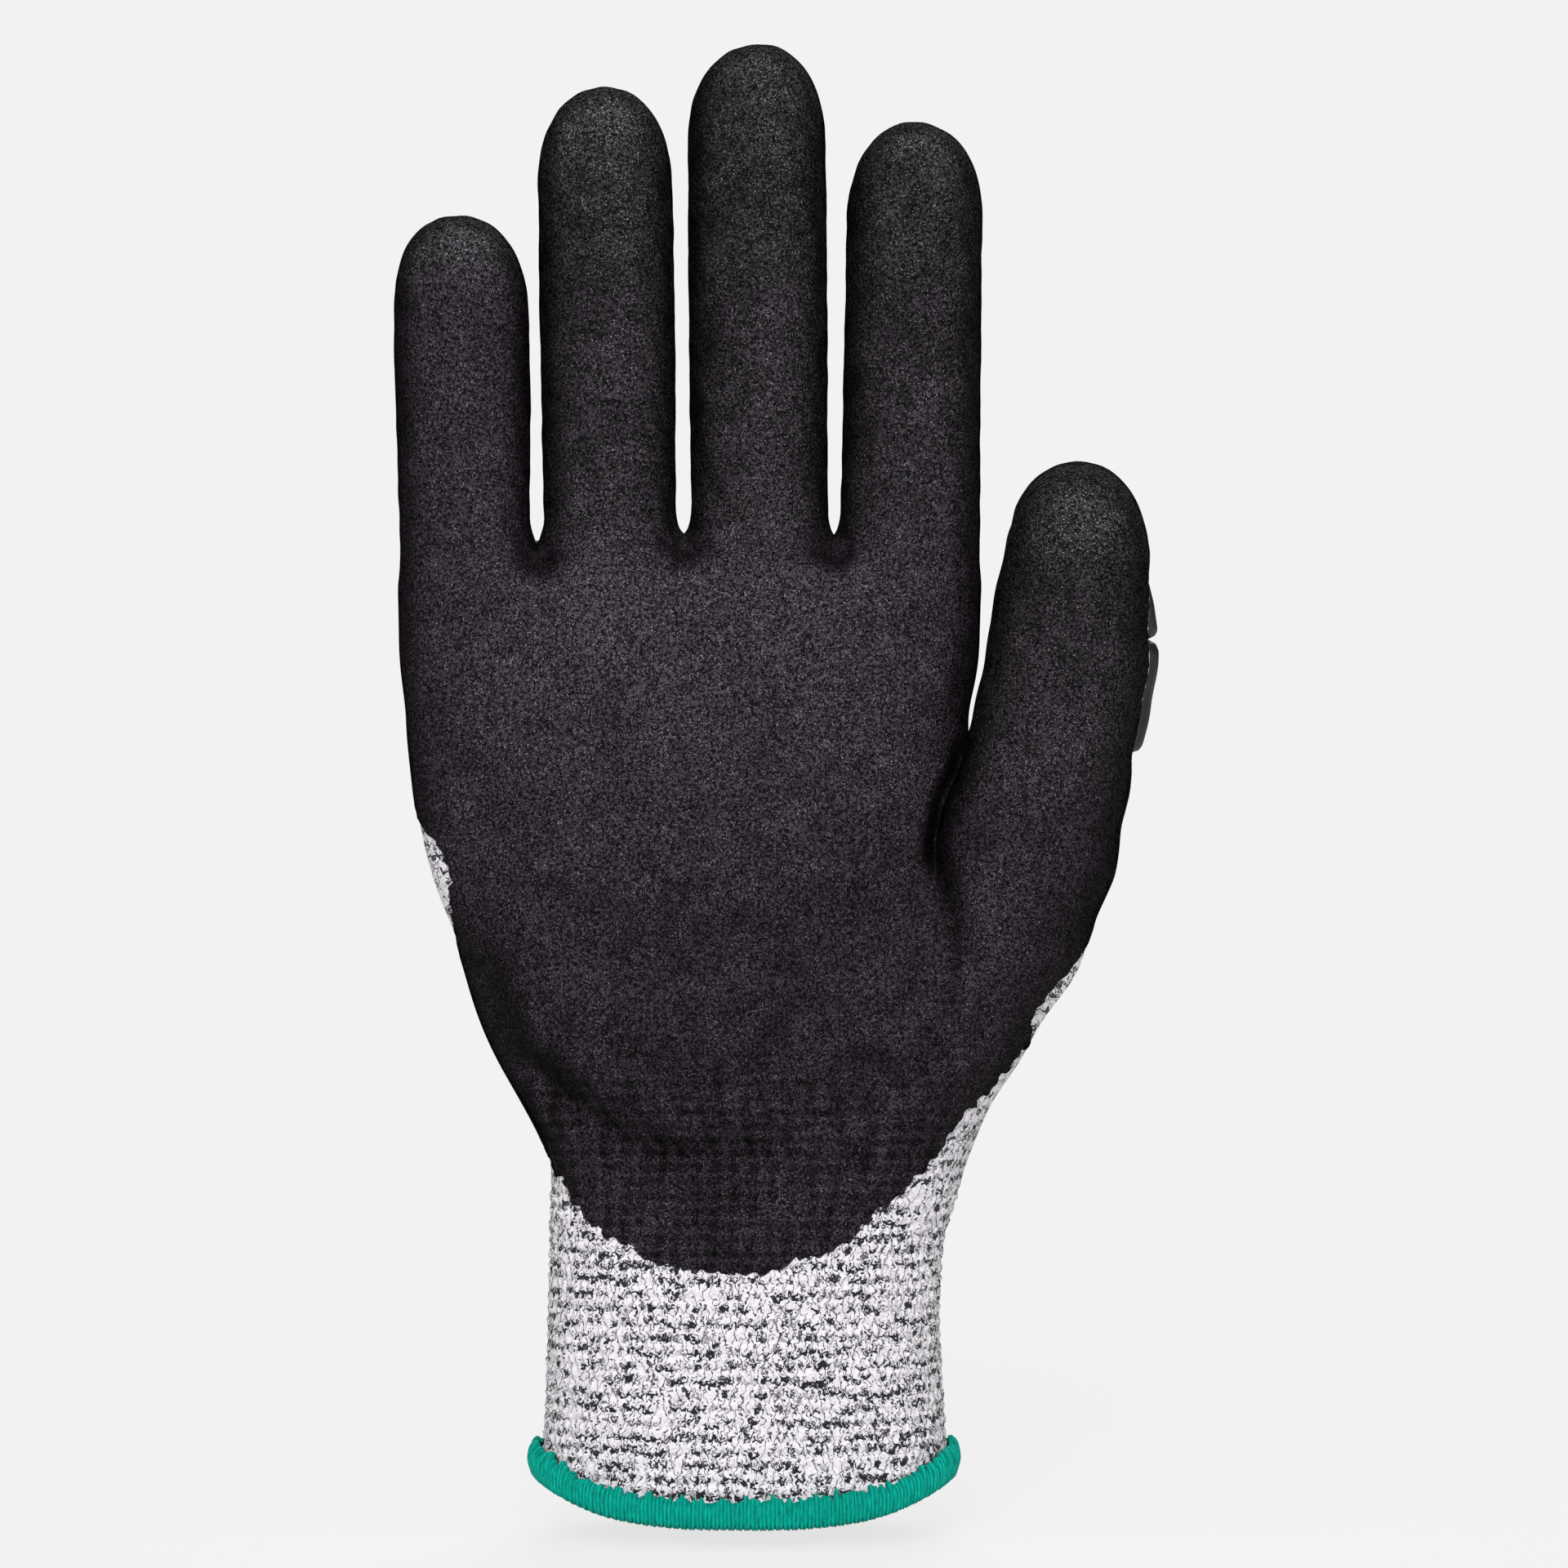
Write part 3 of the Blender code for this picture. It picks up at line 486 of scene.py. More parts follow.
def coat_field(points):
    """Positive where the liner is coated, about millimetres from the coating's edge."""
    x, y, z = points.T
    course_turn = z * 2 * math.pi / COURSE
    # stitches make the tongue's edge step
    foot = np.interp(x, *zip(*TONGUE))
    slope = np.interp(x, (-34, -28, -20, -8, 8, 20, 34), (3.0, 2.6, 0.6, 0.1, 0.3, 0.9, 1.3))
    teeth = (0.32 * np.sin(x * 2 * math.pi / 2.9 + 0.8 * np.sin(z * 1.3))
             + 0.22 * np.sin(course_turn + x * 0.4))
    tongue = (z - foot) / np.sqrt(1 + slope ** 2) + teeth * 1.1
    tongue = np.where(y < 2, tongue, -9)
    ripple = 0.30 * np.sin(course_turn) + 0.2 * np.sin(z * 1.1 + x * 0.2)
    edge = lerp(cut_left(z), cut_right(z), rise(x, 0, 12)) - y + ripple
    hand = np.minimum(edge, np.where(z < 84, tongue, 9))
    best = hand
    # fingers: palm side, flanks and the whole tip
    for finger in FINGERS.values():
        centre_x, centre_y, t = finger_axis(finger, z)
        flank = centre_y + 0.40 * along_finger(finger.depths, t) - y + ripple * 0.6
        tip = (z - (finger.tip_z - 6.5 + 0.03 * (x - centre_x) ** 2)) * 0.9 + 0.2 * np.sin(x * 2.1)
        mine = (np.abs(x - centre_x) < FINGER_REACH) & (z > 160)
        wrapped = lerp(hand, smooth_max(flank, tip, 2.0), rise(z, 160, 10))
        best = np.where(mine, wrapped, best)
    # thumb: its back is turned to the side
    from_fold = points - THUMB_FOLD
    along = from_fold @ THUMB_AIM
    outer_side = rise(from_fold @ THUMB_SIDE, -2, 4)
    flank = (np.interp(along, (-20, -8, -4, 22, 27), (7.0, 6.8, 6.6, 6.6, 6.0))
             - from_fold @ THUMB_BACK + ripple * 0.5
             - outer_side * np.interp(along, (-12, -4, 22, 27), (0, 2.2, 2.2, 0.5)))
    wrapped = lerp(hand, smooth_max(flank, along - 30.5, 2.0), rise(z, 118, 14))
    return np.where(on_thumb(points), wrapped, best)


# ---------------------------------------------------------------- pieces of the skin
# Each piece lies across one fold: its name, the ending of the frame's parts that it
# replaces, the two bodies on either side of the fold, and the points given as the start
# and end of its bend. Nothing bends the pieces; only the palm's pieces are attached to a body.
PIECES = [
    ("wrist", "cuff", "cuff", "palm", (0, 0, 48.0), (0, 0, 74.0)),
    ("palm", "palm", "palm", None, None, None),
    ("knuckles", "knuckles", "palm", "knuckles", (0, 0, 139.0), (0, 0, 159.0)),
    ("thumb_base", "thumb_base", "palm", "thumb_base",
     (38.0 - 9.9, 0, 100.0 - 1.41), (38.0 + 5.5, 0, 100.0 + 0.78)),
    ("thumb_proximal", "thumb_proximal", "thumb_base", "thumb_proximal",
     THUMB_FOLD - THUMB_AIM * 6.0, THUMB_FOLD + THUMB_AIM * 6.0),
    ("thumb_distal", "thumb_distal", "thumb_proximal", "thumb_distal",
     THUMB_FOLD + THUMB_AIM * 7.5, THUMB_FOLD + THUMB_AIM * 20.5)]
FIRST_FINGER_PIECE = len(PIECES)
for name, finger in FINGERS.items():
    (fold_1, fold_2), (split_1, split_2) = finger.folds, finger.splits
    half_1 = min(fold_1 - split_1, split_2 - fold_1) - 0.6
    half_2 = min(fold_2 - split_2 - 0.6, 7.5)
    below = "knuckles"
    for part, low, high in (("proximal", 168.0, finger.root_end),
                            ("middle", fold_1 - half_1, fold_1 + half_1),
                            ("distal", fold_2 - half_2, fold_2 + half_2)):
        own = f"{name}_{part}"
        PIECES.append((own, own, below, own, (0, 0, low), (0, 0, high)))
        below = own
FINGER_BORDERS = [-99, -34.5, -9.9, 15.4, 99]      # x between the fingers


def regions(points):
    """For each point, the number of the piece it is in."""
    x, _, z = points.T
    out = np.full(len(points), 1)
    out[z < 76.0] = 0
    out[z >= 137.0] = 2
    for i, finger in enumerate(FINGERS.values()):
        mine = (z >= 161.0) & (x > FINGER_BORDERS[i]) & (x <= FINGER_BORDERS[i + 1])
        for j, low in enumerate((161.0, *finger.splits)):
            out[mine & (z > low) if j else mine] = FIRST_FINGER_PIECE + i * 3 + j
    along = (points - THUMB_FOLD) @ THUMB_AIM
    across = (x - 38.0) * 0.99 + (z - 100.0) * 0.141
    out[(z >= 76.0) & (z < 131.0) & (across > -10.0)] = 3
    tube = on_thumb(points) & (z >= 128.0)
    out[tube & (along > -6.4)] = 4
    out[tube & (along <= -6.4)] = 3
    out[tube & (along > 7.0)] = 5
    return out


def attach(obj, body, next_body, start, end):
    if next_body is None:
        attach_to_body(obj, body)
    else:
        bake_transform(obj)


# ---------------------------------------------------------------- mesh tools
collection = bpy.data.collections.new("glove_looks")
bpy.context.scene.collection.children.link(collection)


def make_mesh(name, points, faces, material, attributes, shading=None):
    """A smooth mesh object from points in millimetres, with shading normals if given."""
    mesh = bpy.data.meshes.new(name)
    count, corners = faces.shape
    mesh.vertices.add(len(points))
    mesh.vertices.foreach_set("co", place(points).astype(np.float32).ravel())
    mesh.loops.add(count * corners)
    mesh.loops.foreach_set("vertex_index", faces.astype(np.int32).ravel())
    mesh.polygons.add(count)
    mesh.polygons.foreach_set("loop_start", np.arange(0, count * corners, corners, dtype=np.int32))
    mesh.update(calc_edges=True)
    mesh.validate()
    mesh.polygons.foreach_set("use_smooth", np.ones(len(mesh.polygons), bool))
    for key, values in attributes.items():
        attribute = mesh.attributes.new(key, "FLOAT", "POINT")
        attribute.data.foreach_set("value", np.asarray(values, np.float32))
    if shading is not None:
        mesh.normals_split_custom_set_from_vertices(unit(shading).tolist())
    obj = bpy.data.objects.new(name, mesh)
    mesh.materials.append(material)
    collection.objects.link(obj)
    return obj


def pick(count, faces, keep):
    """Of a mesh with that many points: the kept faces in new numbers, and their points' old ones."""
    kept = faces[keep]
    used = np.unique(kept)
    new = -np.ones(count, np.int64)
    new[used] = np.arange(len(used))
    return used, new[kept]


def clip(points, tris, level, rows):
    """The part of a triangle mesh where level is positive, cut along its zero line.

    Each point's row is carried along. Returns points, triangles, rows and the cut's edges.
    """
    inside = level > 0
    inside_count = inside[tris].sum(1)
    added_points, added_rows, made, border, known = [], [], [], [], {}

    def cross(a, b):
        i, j = key = (a, b) if a < b else (b, a)
        if key not in known:
            t = level[i] / (level[i] - level[j])
            known[key] = len(points) + len(added_points)
            added_points.append(points[i] + (points[j] - points[i]) * t)
            added_rows.append(rows[i] + (rows[j] - rows[i]) * t)
        return known[key]

    for tri in tris[(inside_count == 1) | (inside_count == 2)].tolist():
        flags = [bool(inside[corner]) for corner in tri]
        one_inside = sum(flags) == 1
        k = flags.index(one_inside)
        a, b, c = tri[k:] + tri[:k]
        p, q = cross(a, b), cross(a, c)
        if one_inside:
            made.append((a, p, q))
            border.append((p, q))
        else:
            made += [(p, b, c), (p, c, q)]
            border.append((q, p))
    points = np.concatenate([points, np.array(added_points).reshape(-1, 3)])
    rows = np.concatenate([rows, np.array(added_rows).reshape(-1, rows.shape[1])])
    tris = np.concatenate([tris[inside_count == 3], np.array(made, np.int64).reshape(-1, 3)])
    used = np.unique(tris)
    new = -np.ones(len(points), np.int64)
    new[used] = np.arange(len(used))
    return points[used], new[tris], rows[used], new[np.array(border, np.int64).reshape(-1, 2)]


def add_rim(tris, cut, count):
    """The cut's points, and the triangles plus a wall down to copies numbered from count."""
    rim = np.unique(cut)
    below = -np.ones(count, np.int64)
    below[rim] = count + np.arange(len(rim))
    a, b = cut.T
    walls = [np.stack([a, b, below[b]], 1), np.stack([a, below[b], below[a]], 1)]
    return rim, np.concatenate([tris, *walls])


def strip_quads(numbers, wrap_axis):
    """Quads of a net of point numbers that closes on itself along one axis."""
    following = np.roll(numbers, -1, wrap_axis)
    if wrap_axis == 1:
        corners = numbers[:-1], following[:-1], following[1:], numbers[1:]
    else:
        corners = numbers[:, :-1], following[:, :-1], following[:, 1:], numbers[:, 1:]
    return np.stack(corners, -1).reshape(-1, 4)


# ---------------------------------------------------------------- place in the knitting
def arc_table(a, b, power):
    """Turns round an oval, the same turns by arc length, and the oval's length."""
    turn = np.linspace(-math.pi, math.pi, 721)
    c, s = np.cos(turn), np.sin(turn)
    x = a * np.sign(c) * np.abs(c) ** (2 / power)
    y = b * np.sign(s) * np.abs(s) ** (2 / power)
    length = np.concatenate([[0], np.cumsum(np.hypot(np.diff(x), np.diff(y)))])
    seen = np.arctan2(y / b, x / a)
    seen[0], seen[-1] = -math.pi, math.pi
    return seen, length / length[-1] * 2 * math.pi - math.pi, length[-1]


CUFF_TURN, CUFF_ARC, CUFF_LENGTH = arc_table(a=33.3, b=18.0, power=2.38)
HAND_STITCHES = round(CUFF_LENGTH / WALE)
HAND_SCALE = HAND_STITCHES * WALE / (2 * math.pi)      # millimetres of yarn per radian
FINGER_SCALE = 21 * WALE / (2 * math.pi)
KNIT_KEYS = ("kc", "ks", "kn", "kv")      # cos and sin of the turn, scale, height


def knit_place(points, facing):
    """The four knit attributes of each point, one row per point."""
    x, y, z = points.T
    centre_x, centre_y, half_x, half_y, _ = section(z)
    turn = np.arctan2((y - centre_y) / half_y, (x - centre_x) / half_x)
    around = np.interp(turn, CUFF_TURN, CUFF_ARC)
    scale = np.full(len(points), HAND_SCALE)
    # higher up, the wales run straight up the back and the palm
    straight = (x - 2.0) / scale
    straight = np.where(facing > 0, math.pi / 2 - straight, straight - math.pi / 2)
    around = around + (straight - around) * rise(z, 74, 20)
    for finger in FINGERS.values():
        centre_x, centre_y, _ = finger_axis(finger, z)
        mine = (np.abs(x - centre_x) < FINGER_REACH) & (z > 163)
        around = np.where(mine, np.arctan2(y - centre_y, x - centre_x), around)
        scale = np.where(mine, FINGER_SCALE, scale)
    return np.stack([np.cos(around), np.sin(around), scale, z], 1)


# ---------------------------------------------------------------- node trees
class Signal:
    """A node's output. Arithmetic on it makes Math nodes."""

    def __init__(self, nodes, socket):
        self.nodes, self.socket = nodes, socket

    def __add__(self, other):
        return self.nodes.math("ADD", self, other)

    def __sub__(self, other):
        return self.nodes.math("SUBTRACT", self, other)

    def __mul__(self, other):
        return self.nodes.math("MULTIPLY", self, other)

    def __truediv__(self, other):
        return self.nodes.math("DIVIDE", self, other)


class Nodes:
    """The node tree of a material or world. Tuples are colours, and None leaves the default."""

    def __init__(self, owner, output="OutputMaterial"):
        self.owner = owner
        owner.use_nodes = True
        self.tree = owner.node_tree
        self.tree.nodes.clear()
        self.out = self.tree.nodes.new("ShaderNode" + output)

    def add(self, kind, inputs, output=0, **settings):
        node = self.tree.nodes.new("ShaderNode" + kind)
        for key, value in settings.items():
            setattr(node, key, value)
        for key, value in inputs.items():
            if isinstance(value, Signal):
                self.tree.links.new(value.socket, node.inputs[key])
            elif value is not None:
                node.inputs[key].default_value = (*value, 1.0) if isinstance(value, tuple) else value
        return Signal(self, node.outputs[output])

    def show(self, shader):
        self.tree.links.new(shader.socket, self.out.inputs[0])
        return self.owner

    def math(self, operation, a, b=None, c=None, clamp=False):
        return self.add("Math", {0: a, 1: b, 2: c}, operation=operation, use_clamp=clamp)

    def attr(self, name):
        return self.add("Attribute", {}, "Fac", attribute_name=name)

    def plane(self, x, y):
        return self.add("CombineXYZ", {0: x, 1: y, 2: 0.0})

    def noise(self, vector, scale, detail=2.0, rough=0.5, distortion=0.0):
        return self.add("TexNoise", {"Vector": vector, "Scale": scale, "Detail": detail,
                                     "Roughness": rough, "Distortion": distortion}, "Fac")

    def object_mm(self):
        where = self.add("TexCoord", {}, "Object")
        return self.add("VectorMath", {0: where, "Scale": 1000.0}, operation="SCALE")

    def facing(self):
        return self.add("LayerWeight", {"Blend": 0.5}, "Facing")

    def ramp(self, value, over, to=(0.0, 1.0)):
        """Goes smoothly from to[0] to to[1] while the value goes over its range."""
        return self.add("MapRange", {"Value": value, "From Min": over[0], "From Max": over[1],
                                     "To Min": to[0], "To Max": to[1]},
                        "Result", interpolation_type="SMOOTHSTEP")

    def mix(self, factor, a, b, kind="MIX"):
        return self.add("Mix", {0: factor, 6: a, 7: b}, 2,
                        data_type="RGBA", blend_type=kind, clamp_factor=True)

    def bump(self, height, distance, strength):
        return self.add("Bump", {"Distance": distance, "Strength": strength, "Height": height})

    def finish(self, color, rough, normal, **rest):
        inputs = {"Base Color": color, "Roughness": rough, "Normal": normal}
        inputs.update({key.replace("_", " "): value for key, value in rest.items()})
        return self.show(self.add("BsdfPrincipled", inputs))


# ---------------------------------------------------------------- materials
def yarn_place(k):
    """Millimetres round the tube and up it."""
    return k.math("ARCTAN2", k.attr("ks"), k.attr("kc")) * k.attr("kn"), k.attr("kv")


def stitch_height(k, u, v):
    """Height of the stitches, from 0 to 1: rows that waver, with leaning loops."""
    drift = k.noise(k.plane(u * 0.16, v * 0.16), scale=1.0, detail=1.0)
    around = u * (2 * math.pi / WALE)
    row = v / COURSE + k.math("SINE", around) * 0.07 + (drift - 0.5) * 0.5
    ridge = k.math("COSINE", row * (2 * math.pi))
    lean = k.math("SINE", row * (2 * math.pi)) * k.math("COSINE", around)
    return k.math("MULTIPLY_ADD", ridge, 0.34, 0.5) + lean * 0.16


def knit_material(name, stitch_bump):
    """Heathered yarn: white, with a charcoal strand that surfaces in short strokes."""
    k = Nodes(bpy.data.materials.new(name))
    u, v = yarn_place(k)
    uv = k.plane(u, v)
    height = stitch_height(k, u, v)
    # strayed place, and the stitch it falls in; every other row is half a stitch aside
    stray_u = k.noise(uv, scale=0.95, detail=1.0)
    stray_v = k.noise(k.plane(u + 37.0, v + 11.0), scale=1.2, detail=1.0)
    yarn_u = u + (stray_u - 0.5) * 2.2
    yarn_v = v + (stray_v - 0.5) * 2.7
    line = yarn_v / COURSE
    row = k.math("FLOOR", line)
    up = line - row
    wale = yarn_u / (WALE / 2) + k.math("FRACT", row * 0.5)
    column = k.math("FLOOR", wale)
    across = wale - column
    random = k.add("TexWhiteNoise", {"Vector": k.plane(column, row)}, "Color", noise_dimensions="2D")
    parts = k.add("SeparateColor", {0: random}).socket.node.outputs
    random_1, random_2, random_3 = (Signal(k, parts[i]) for i in range(3))
    fine = k.noise(uv, scale=3.6, rough=0.65)
    # the sag of the loop
    half = across - 0.5
    arc = k.math("MULTIPLY_ADD", random_2, 0.52, 0.16) + half * half * 1.3
    off = k.math("ABSOLUTE", up - arc)
    thick = k.math("MULTIPLY_ADD", fine, 0.16, k.math("MULTIPLY_ADD", random_1, 0.15, -0.05))
    sag = (k.ramp(off - thick, over=(-0.03, 0.05), to=(1.0, 0.0))
           * k.ramp(random_1, over=(0.18, 0.45)))
    # the leg of the loop, leaning either way
    way = k.math("SIGN", random_3 - 0.5)
    off = k.math("ABSOLUTE", up - (half * way * 1.7 + 0.55))
    gate = k.ramp(k.noise(uv, scale=0.9, detail=1.0), over=(0.28, 0.40))
    leg = (k.ramp(off, over=(0.075, 0.145), to=(1.0, 0.0))
           * (gate * k.ramp(fine, over=(0.33, 0.46))))
    # small dark knots where strands cross
    knot = k.add("TexVoronoi", {"Vector": k.plane(yarn_u, yarn_v * 1.3), "Scale": 0.62},
                 "Distance", feature="F1")
    knots = k.ramp(knot, over=(0.12, 0.28), to=(1.0, 0.0)) * k.ramp(stray_v, over=(0.42, 0.52))
    # a second leg higher in the stitch, on other stitches
    off = k.math("ABSOLUTE", up - (half * way * -1.5 + 0.95))
    high_leg = (k.ramp(off, over=(0.07, 0.15), to=(1.0, 0.0))
                * (k.ramp(random_2, over=(0.38, 0.5)) * k.ramp(fine, over=(0.34, 0.45))))
    legs = k.math("MAXIMUM", leg, high_leg)
    dark = k.math("MAXIMUM", sag, k.math("MAXIMUM", legs * 0.97, knots * 0.95), clamp=True)
    # white yarn, greyed in patches, shaded between the stitches, then the dark strand
    grey = k.ramp(k.noise(k.plane(u, v * 1.6), scale=1.7), over=(0.46, 0.74), to=(0.0, 0.45))
    shade = k.ramp(height, over=(0.05, 0.6), to=(0.88, 1.0))
    color = k.mix(k.noise(uv, scale=0.5, detail=1.0), (0.835, 0.795, 0.818), (0.775, 0.752, 0.802))
    color = k.mix(grey, color, (0.33, 0.325, 0.335))
    shading = k.mix(shade, (0.0, 0.0, 0.0), (1.0, 1.0, 1.0))
    color = k.mix(1.0, color, shading, "MULTIPLY")
    color = k.mix(dark, color, (0.015, 0.016, 0.021))
    fibre = k.noise(k.plane(u * 3.0, v * 7.0), scale=1.4, detail=3.0, rough=0.65)
    normal = k.bump(height * stitch_bump + fibre * 0.30 - dark * 0.45, distance=0.00055, strength=0.8)
    return k.finish(color, rough=0.88, normal=normal, Specular_IOR_Level=0.12,
                    Sheen_Weight=0.12, Sheen_Roughness=0.5)


def coat_material(name):
    """Sandy foam nitrile: a dark matt skin of tiny pits and beads; its bright specks are painted glints.

    The knit prints through where it is thin.
    """
    k = Nodes(bpy.data.materials.new(name))
    u, v = yarn_place(k)
    where = k.object_mm()
    grain = k.noise(where, scale=2.05, rough=0.65, distortion=0.5)
    fine = k.noise(where, scale=6.0, detail=1.0)
    worm = k.math("ABSOLUTE", k.noise(where, scale=1.7, detail=1.0, distortion=0.8) - 0.5)
    # painted glints: bright specks put into the colour where the grain would catch the light
    glint_spots = k.ramp(k.noise(where, scale=4.2, detail=0.0, rough=0.4), over=(0.66, 0.79))
    cloud = k.noise(where, scale=0.24, detail=3.0, rough=0.55)
    patch = k.noise(where, scale=0.06)
    thin, tip_hue_and_glint = k.attr("thin"), k.attr("tip_hue_and_glint")
    rows = k.math("COSINE", v * (2 * math.pi / COURSE))
    wales = k.math("COSINE", u * (2 * math.pi / WALE))
    printed = rows * 0.5 + wales * 0.5
    # colour of the foam
    level = k.ramp(grain, over=(0.42, 0.66)) * 0.66 + k.ramp(fine, over=(0.40, 0.66)) * 0.19
    level = level + k.ramp(worm, over=(0.0, 0.14), to=(0.0, 0.15))
    level = k.math("MULTIPLY_ADD", level, 1.10, -0.095, clamp=True)
    light = k.mix(tip_hue_and_glint, (0.0575, 0.0440, 0.0585), (0.0553, 0.0553, 0.0578))
    base = k.mix(level, (0.0006, 0.0002, 0.0006), light)
    # the painted glints are brighter on the finger ends
    glint_color = k.mix(tip_hue_and_glint, (0.170, 0.158, 0.170), (0.250, 0.250, 0.250))
    base = k.mix(glint_spots * 0.8, base, glint_color)
    # slow changes of brightness
    soft = k.ramp(cloud, over=(0.3, 0.7)) * 0.36 + k.ramp(patch, over=(0.35, 0.65)) * 0.20
    # the points' painted light and shade, and the knit printed through where the coating is thin
    gain = soft + k.attr("painted_light") + printed * thin * 0.33
    # painted shade: the colour darkens where the surface is seen on edge, as the pits of the foam hide
    # their own floors
    edge_on = k.facing()
    gain = gain * k.ramp(edge_on, over=(0.02, 0.50), to=(1.0, 0.33))
    gain_color = k.add("CombineColor", {0: gain, 1: gain, 2: gain})
    color = k.mix(1.0, base, gain_color, "MULTIPLY")
    height = grain * 0.9 + fine * 0.35 + printed * thin * 1.1 + cloud * 0.6
    normal = k.bump(height, distance=0.00030, strength=0.9)
    rough = k.ramp(grain, over=(0.3, 0.75), to=(0.78, 0.60))
    return k.finish(color, rough, normal,
                    Specular_IOR_Level=k.ramp(edge_on, over=(0.30, 0.75), to=(0.05, 0.0)))


def hem_material(name):
    """Teal thread, with painted shade down between the turns and along the hem's underside."""
    k = Nodes(bpy.data.materials.new(name))
    thread, along = k.attr("thread"), k.attr("along")
    vary = k.noise(k.plane(thread * 1.7, along * 0.35), scale=1.0)
    fibre = k.noise(k.plane(thread * 9.0, along * 1.1), scale=1.0, detail=3.0, rough=0.6)
    slow = k.noise(k.plane(thread * 0.12, along * 0.2), scale=1.0, detail=1.0)
    level = k.ramp(vary, over=(0.3, 0.7)) * 0.45 + k.ramp(fibre, over=(0.3, 0.72)) * 0.40
    color = k.mix(level + slow * 0.15, (0.0002, 0.150, 0.110), (0.0006, 0.480, 0.365))
    crest = k.attr("crest_and_shade")
    # painted shade where the crest value is low: between the turns and under the edge
    between = k.ramp(crest, over=(0.0, 0.85), to=(1.0, 0.0))
    color = k.mix(between, color, (0.0, 0.020, 0.015))
    normal = k.bump(fibre + crest * 1.2, distance=0.00016, strength=0.7)
    return k.finish(color, rough=0.62, normal=normal, Specular_IOR_Level=0.06)


def guard_material(name):
    """Black rubber, with a painted highlight along its rounded edges, which are also rougher."""
    k = Nodes(bpy.data.materials.new(name))
    where = k.object_mm()
    soft = k.noise(where, scale=0.35)
    fine = k.noise(where, scale=6.0)
    flow = k.noise(where, scale=0.09, detail=1.0)
    color = k.mix(k.ramp(soft, over=(0.35, 0.7)), (0.0060, 0.0060, 0.0066), (0.0120, 0.0118, 0.0125))
    # painted highlight: greyer along the rounded edges
    color = k.mix(k.attr("edge_highlight_and_roughness") * 0.5, color, (0.034, 0.033, 0.034))
    rough = k.ramp(flow, over=(0.3, 0.7), to=(0.30, 0.42)) + k.attr("edge_highlight_and_roughness") * 0.14
    normal = k.bump(fine * 0.35 + soft, distance=0.00006, strength=0.5)
    return k.finish(color, rough, normal,
                    Specular_IOR_Level=k.ramp(k.facing(), over=(0.35, 0.85), to=(0.40, 0.06)))


def elastic_material(name):
    """Covered elastic yarn: pale with dark flecks."""
    k = Nodes(bpy.data.materials.new(name))
    where = k.object_mm()
    cover = k.noise(where, scale=1.6, detail=3.0, rough=0.6, distortion=0.5)
    fine = k.noise(where, scale=5.0)
    color = k.mix(k.ramp(cover, over=(0.35, 0.7)), (0.20, 0.20, 0.205), (0.62, 0.61, 0.61))
    fleck = k.ramp(fine, over=(0.58, 0.72), to=(0.0, 0.6))
    color = k.mix(fleck, color, (0.05, 0.05, 0.055))
    normal = k.bump(cover + fine, distance=0.00025, strength=0.7)
    return k.finish(color, rough=0.85, normal=normal, Specular_IOR_Level=0.2, Sheen_Weight=0.2)


KNIT = knit_material("knit_heathered", stitch_bump=0.9)
KNIT_RAISED = knit_material("knit_heathered_raised", stitch_bump=0.2)
COAT = coat_material("nitrile_sandy_foam")
HEM = hem_material("hem_thread_teal")
GUARD = guard_material("guard_rubber_black")
ELASTIC = elastic_material("elastic_yarn_covered")

# ---------------------------------------------------------------- the coating
COAT_LIFT = 0.55      # coating above the knit
coat_level = coat_field(verts)
knit_rows = knit_place(verts, normals[:, 1])


def tip_hue_and_glint_of(points):
    """The finger ends are dipped a second time and dry a truer black; their painted glints are brighter.
    """
    x, _, z = points.T
    out = np.zeros(len(points))
    for name, finger in FINGERS.items():
        if name == "little":
            own = 0.8 * rise(z, 205, 11)
        else:
            own = 0.4 * rise(z, 163, 8) + 0.6 * rise(z, 206, 14)
        out = np.where((np.abs(x - finger.tip_x) < FINGER_REACH) & (z > 160), own, out)
    return np.where(on_thumb(points), 0.4 * rise(z, 120, 10) + 0.6 * rise(z, 156, 10), out)


def thin_of(points, from_edge):
    """How thin the coating is: most on the cuff's palm side, some along its edge."""
    _, y, z = points.T
    return np.maximum((1 - rise(z, 60, 34)) * fall(y, 4, 4), 0.35 * (1 - smooth(from_edge / 5)))


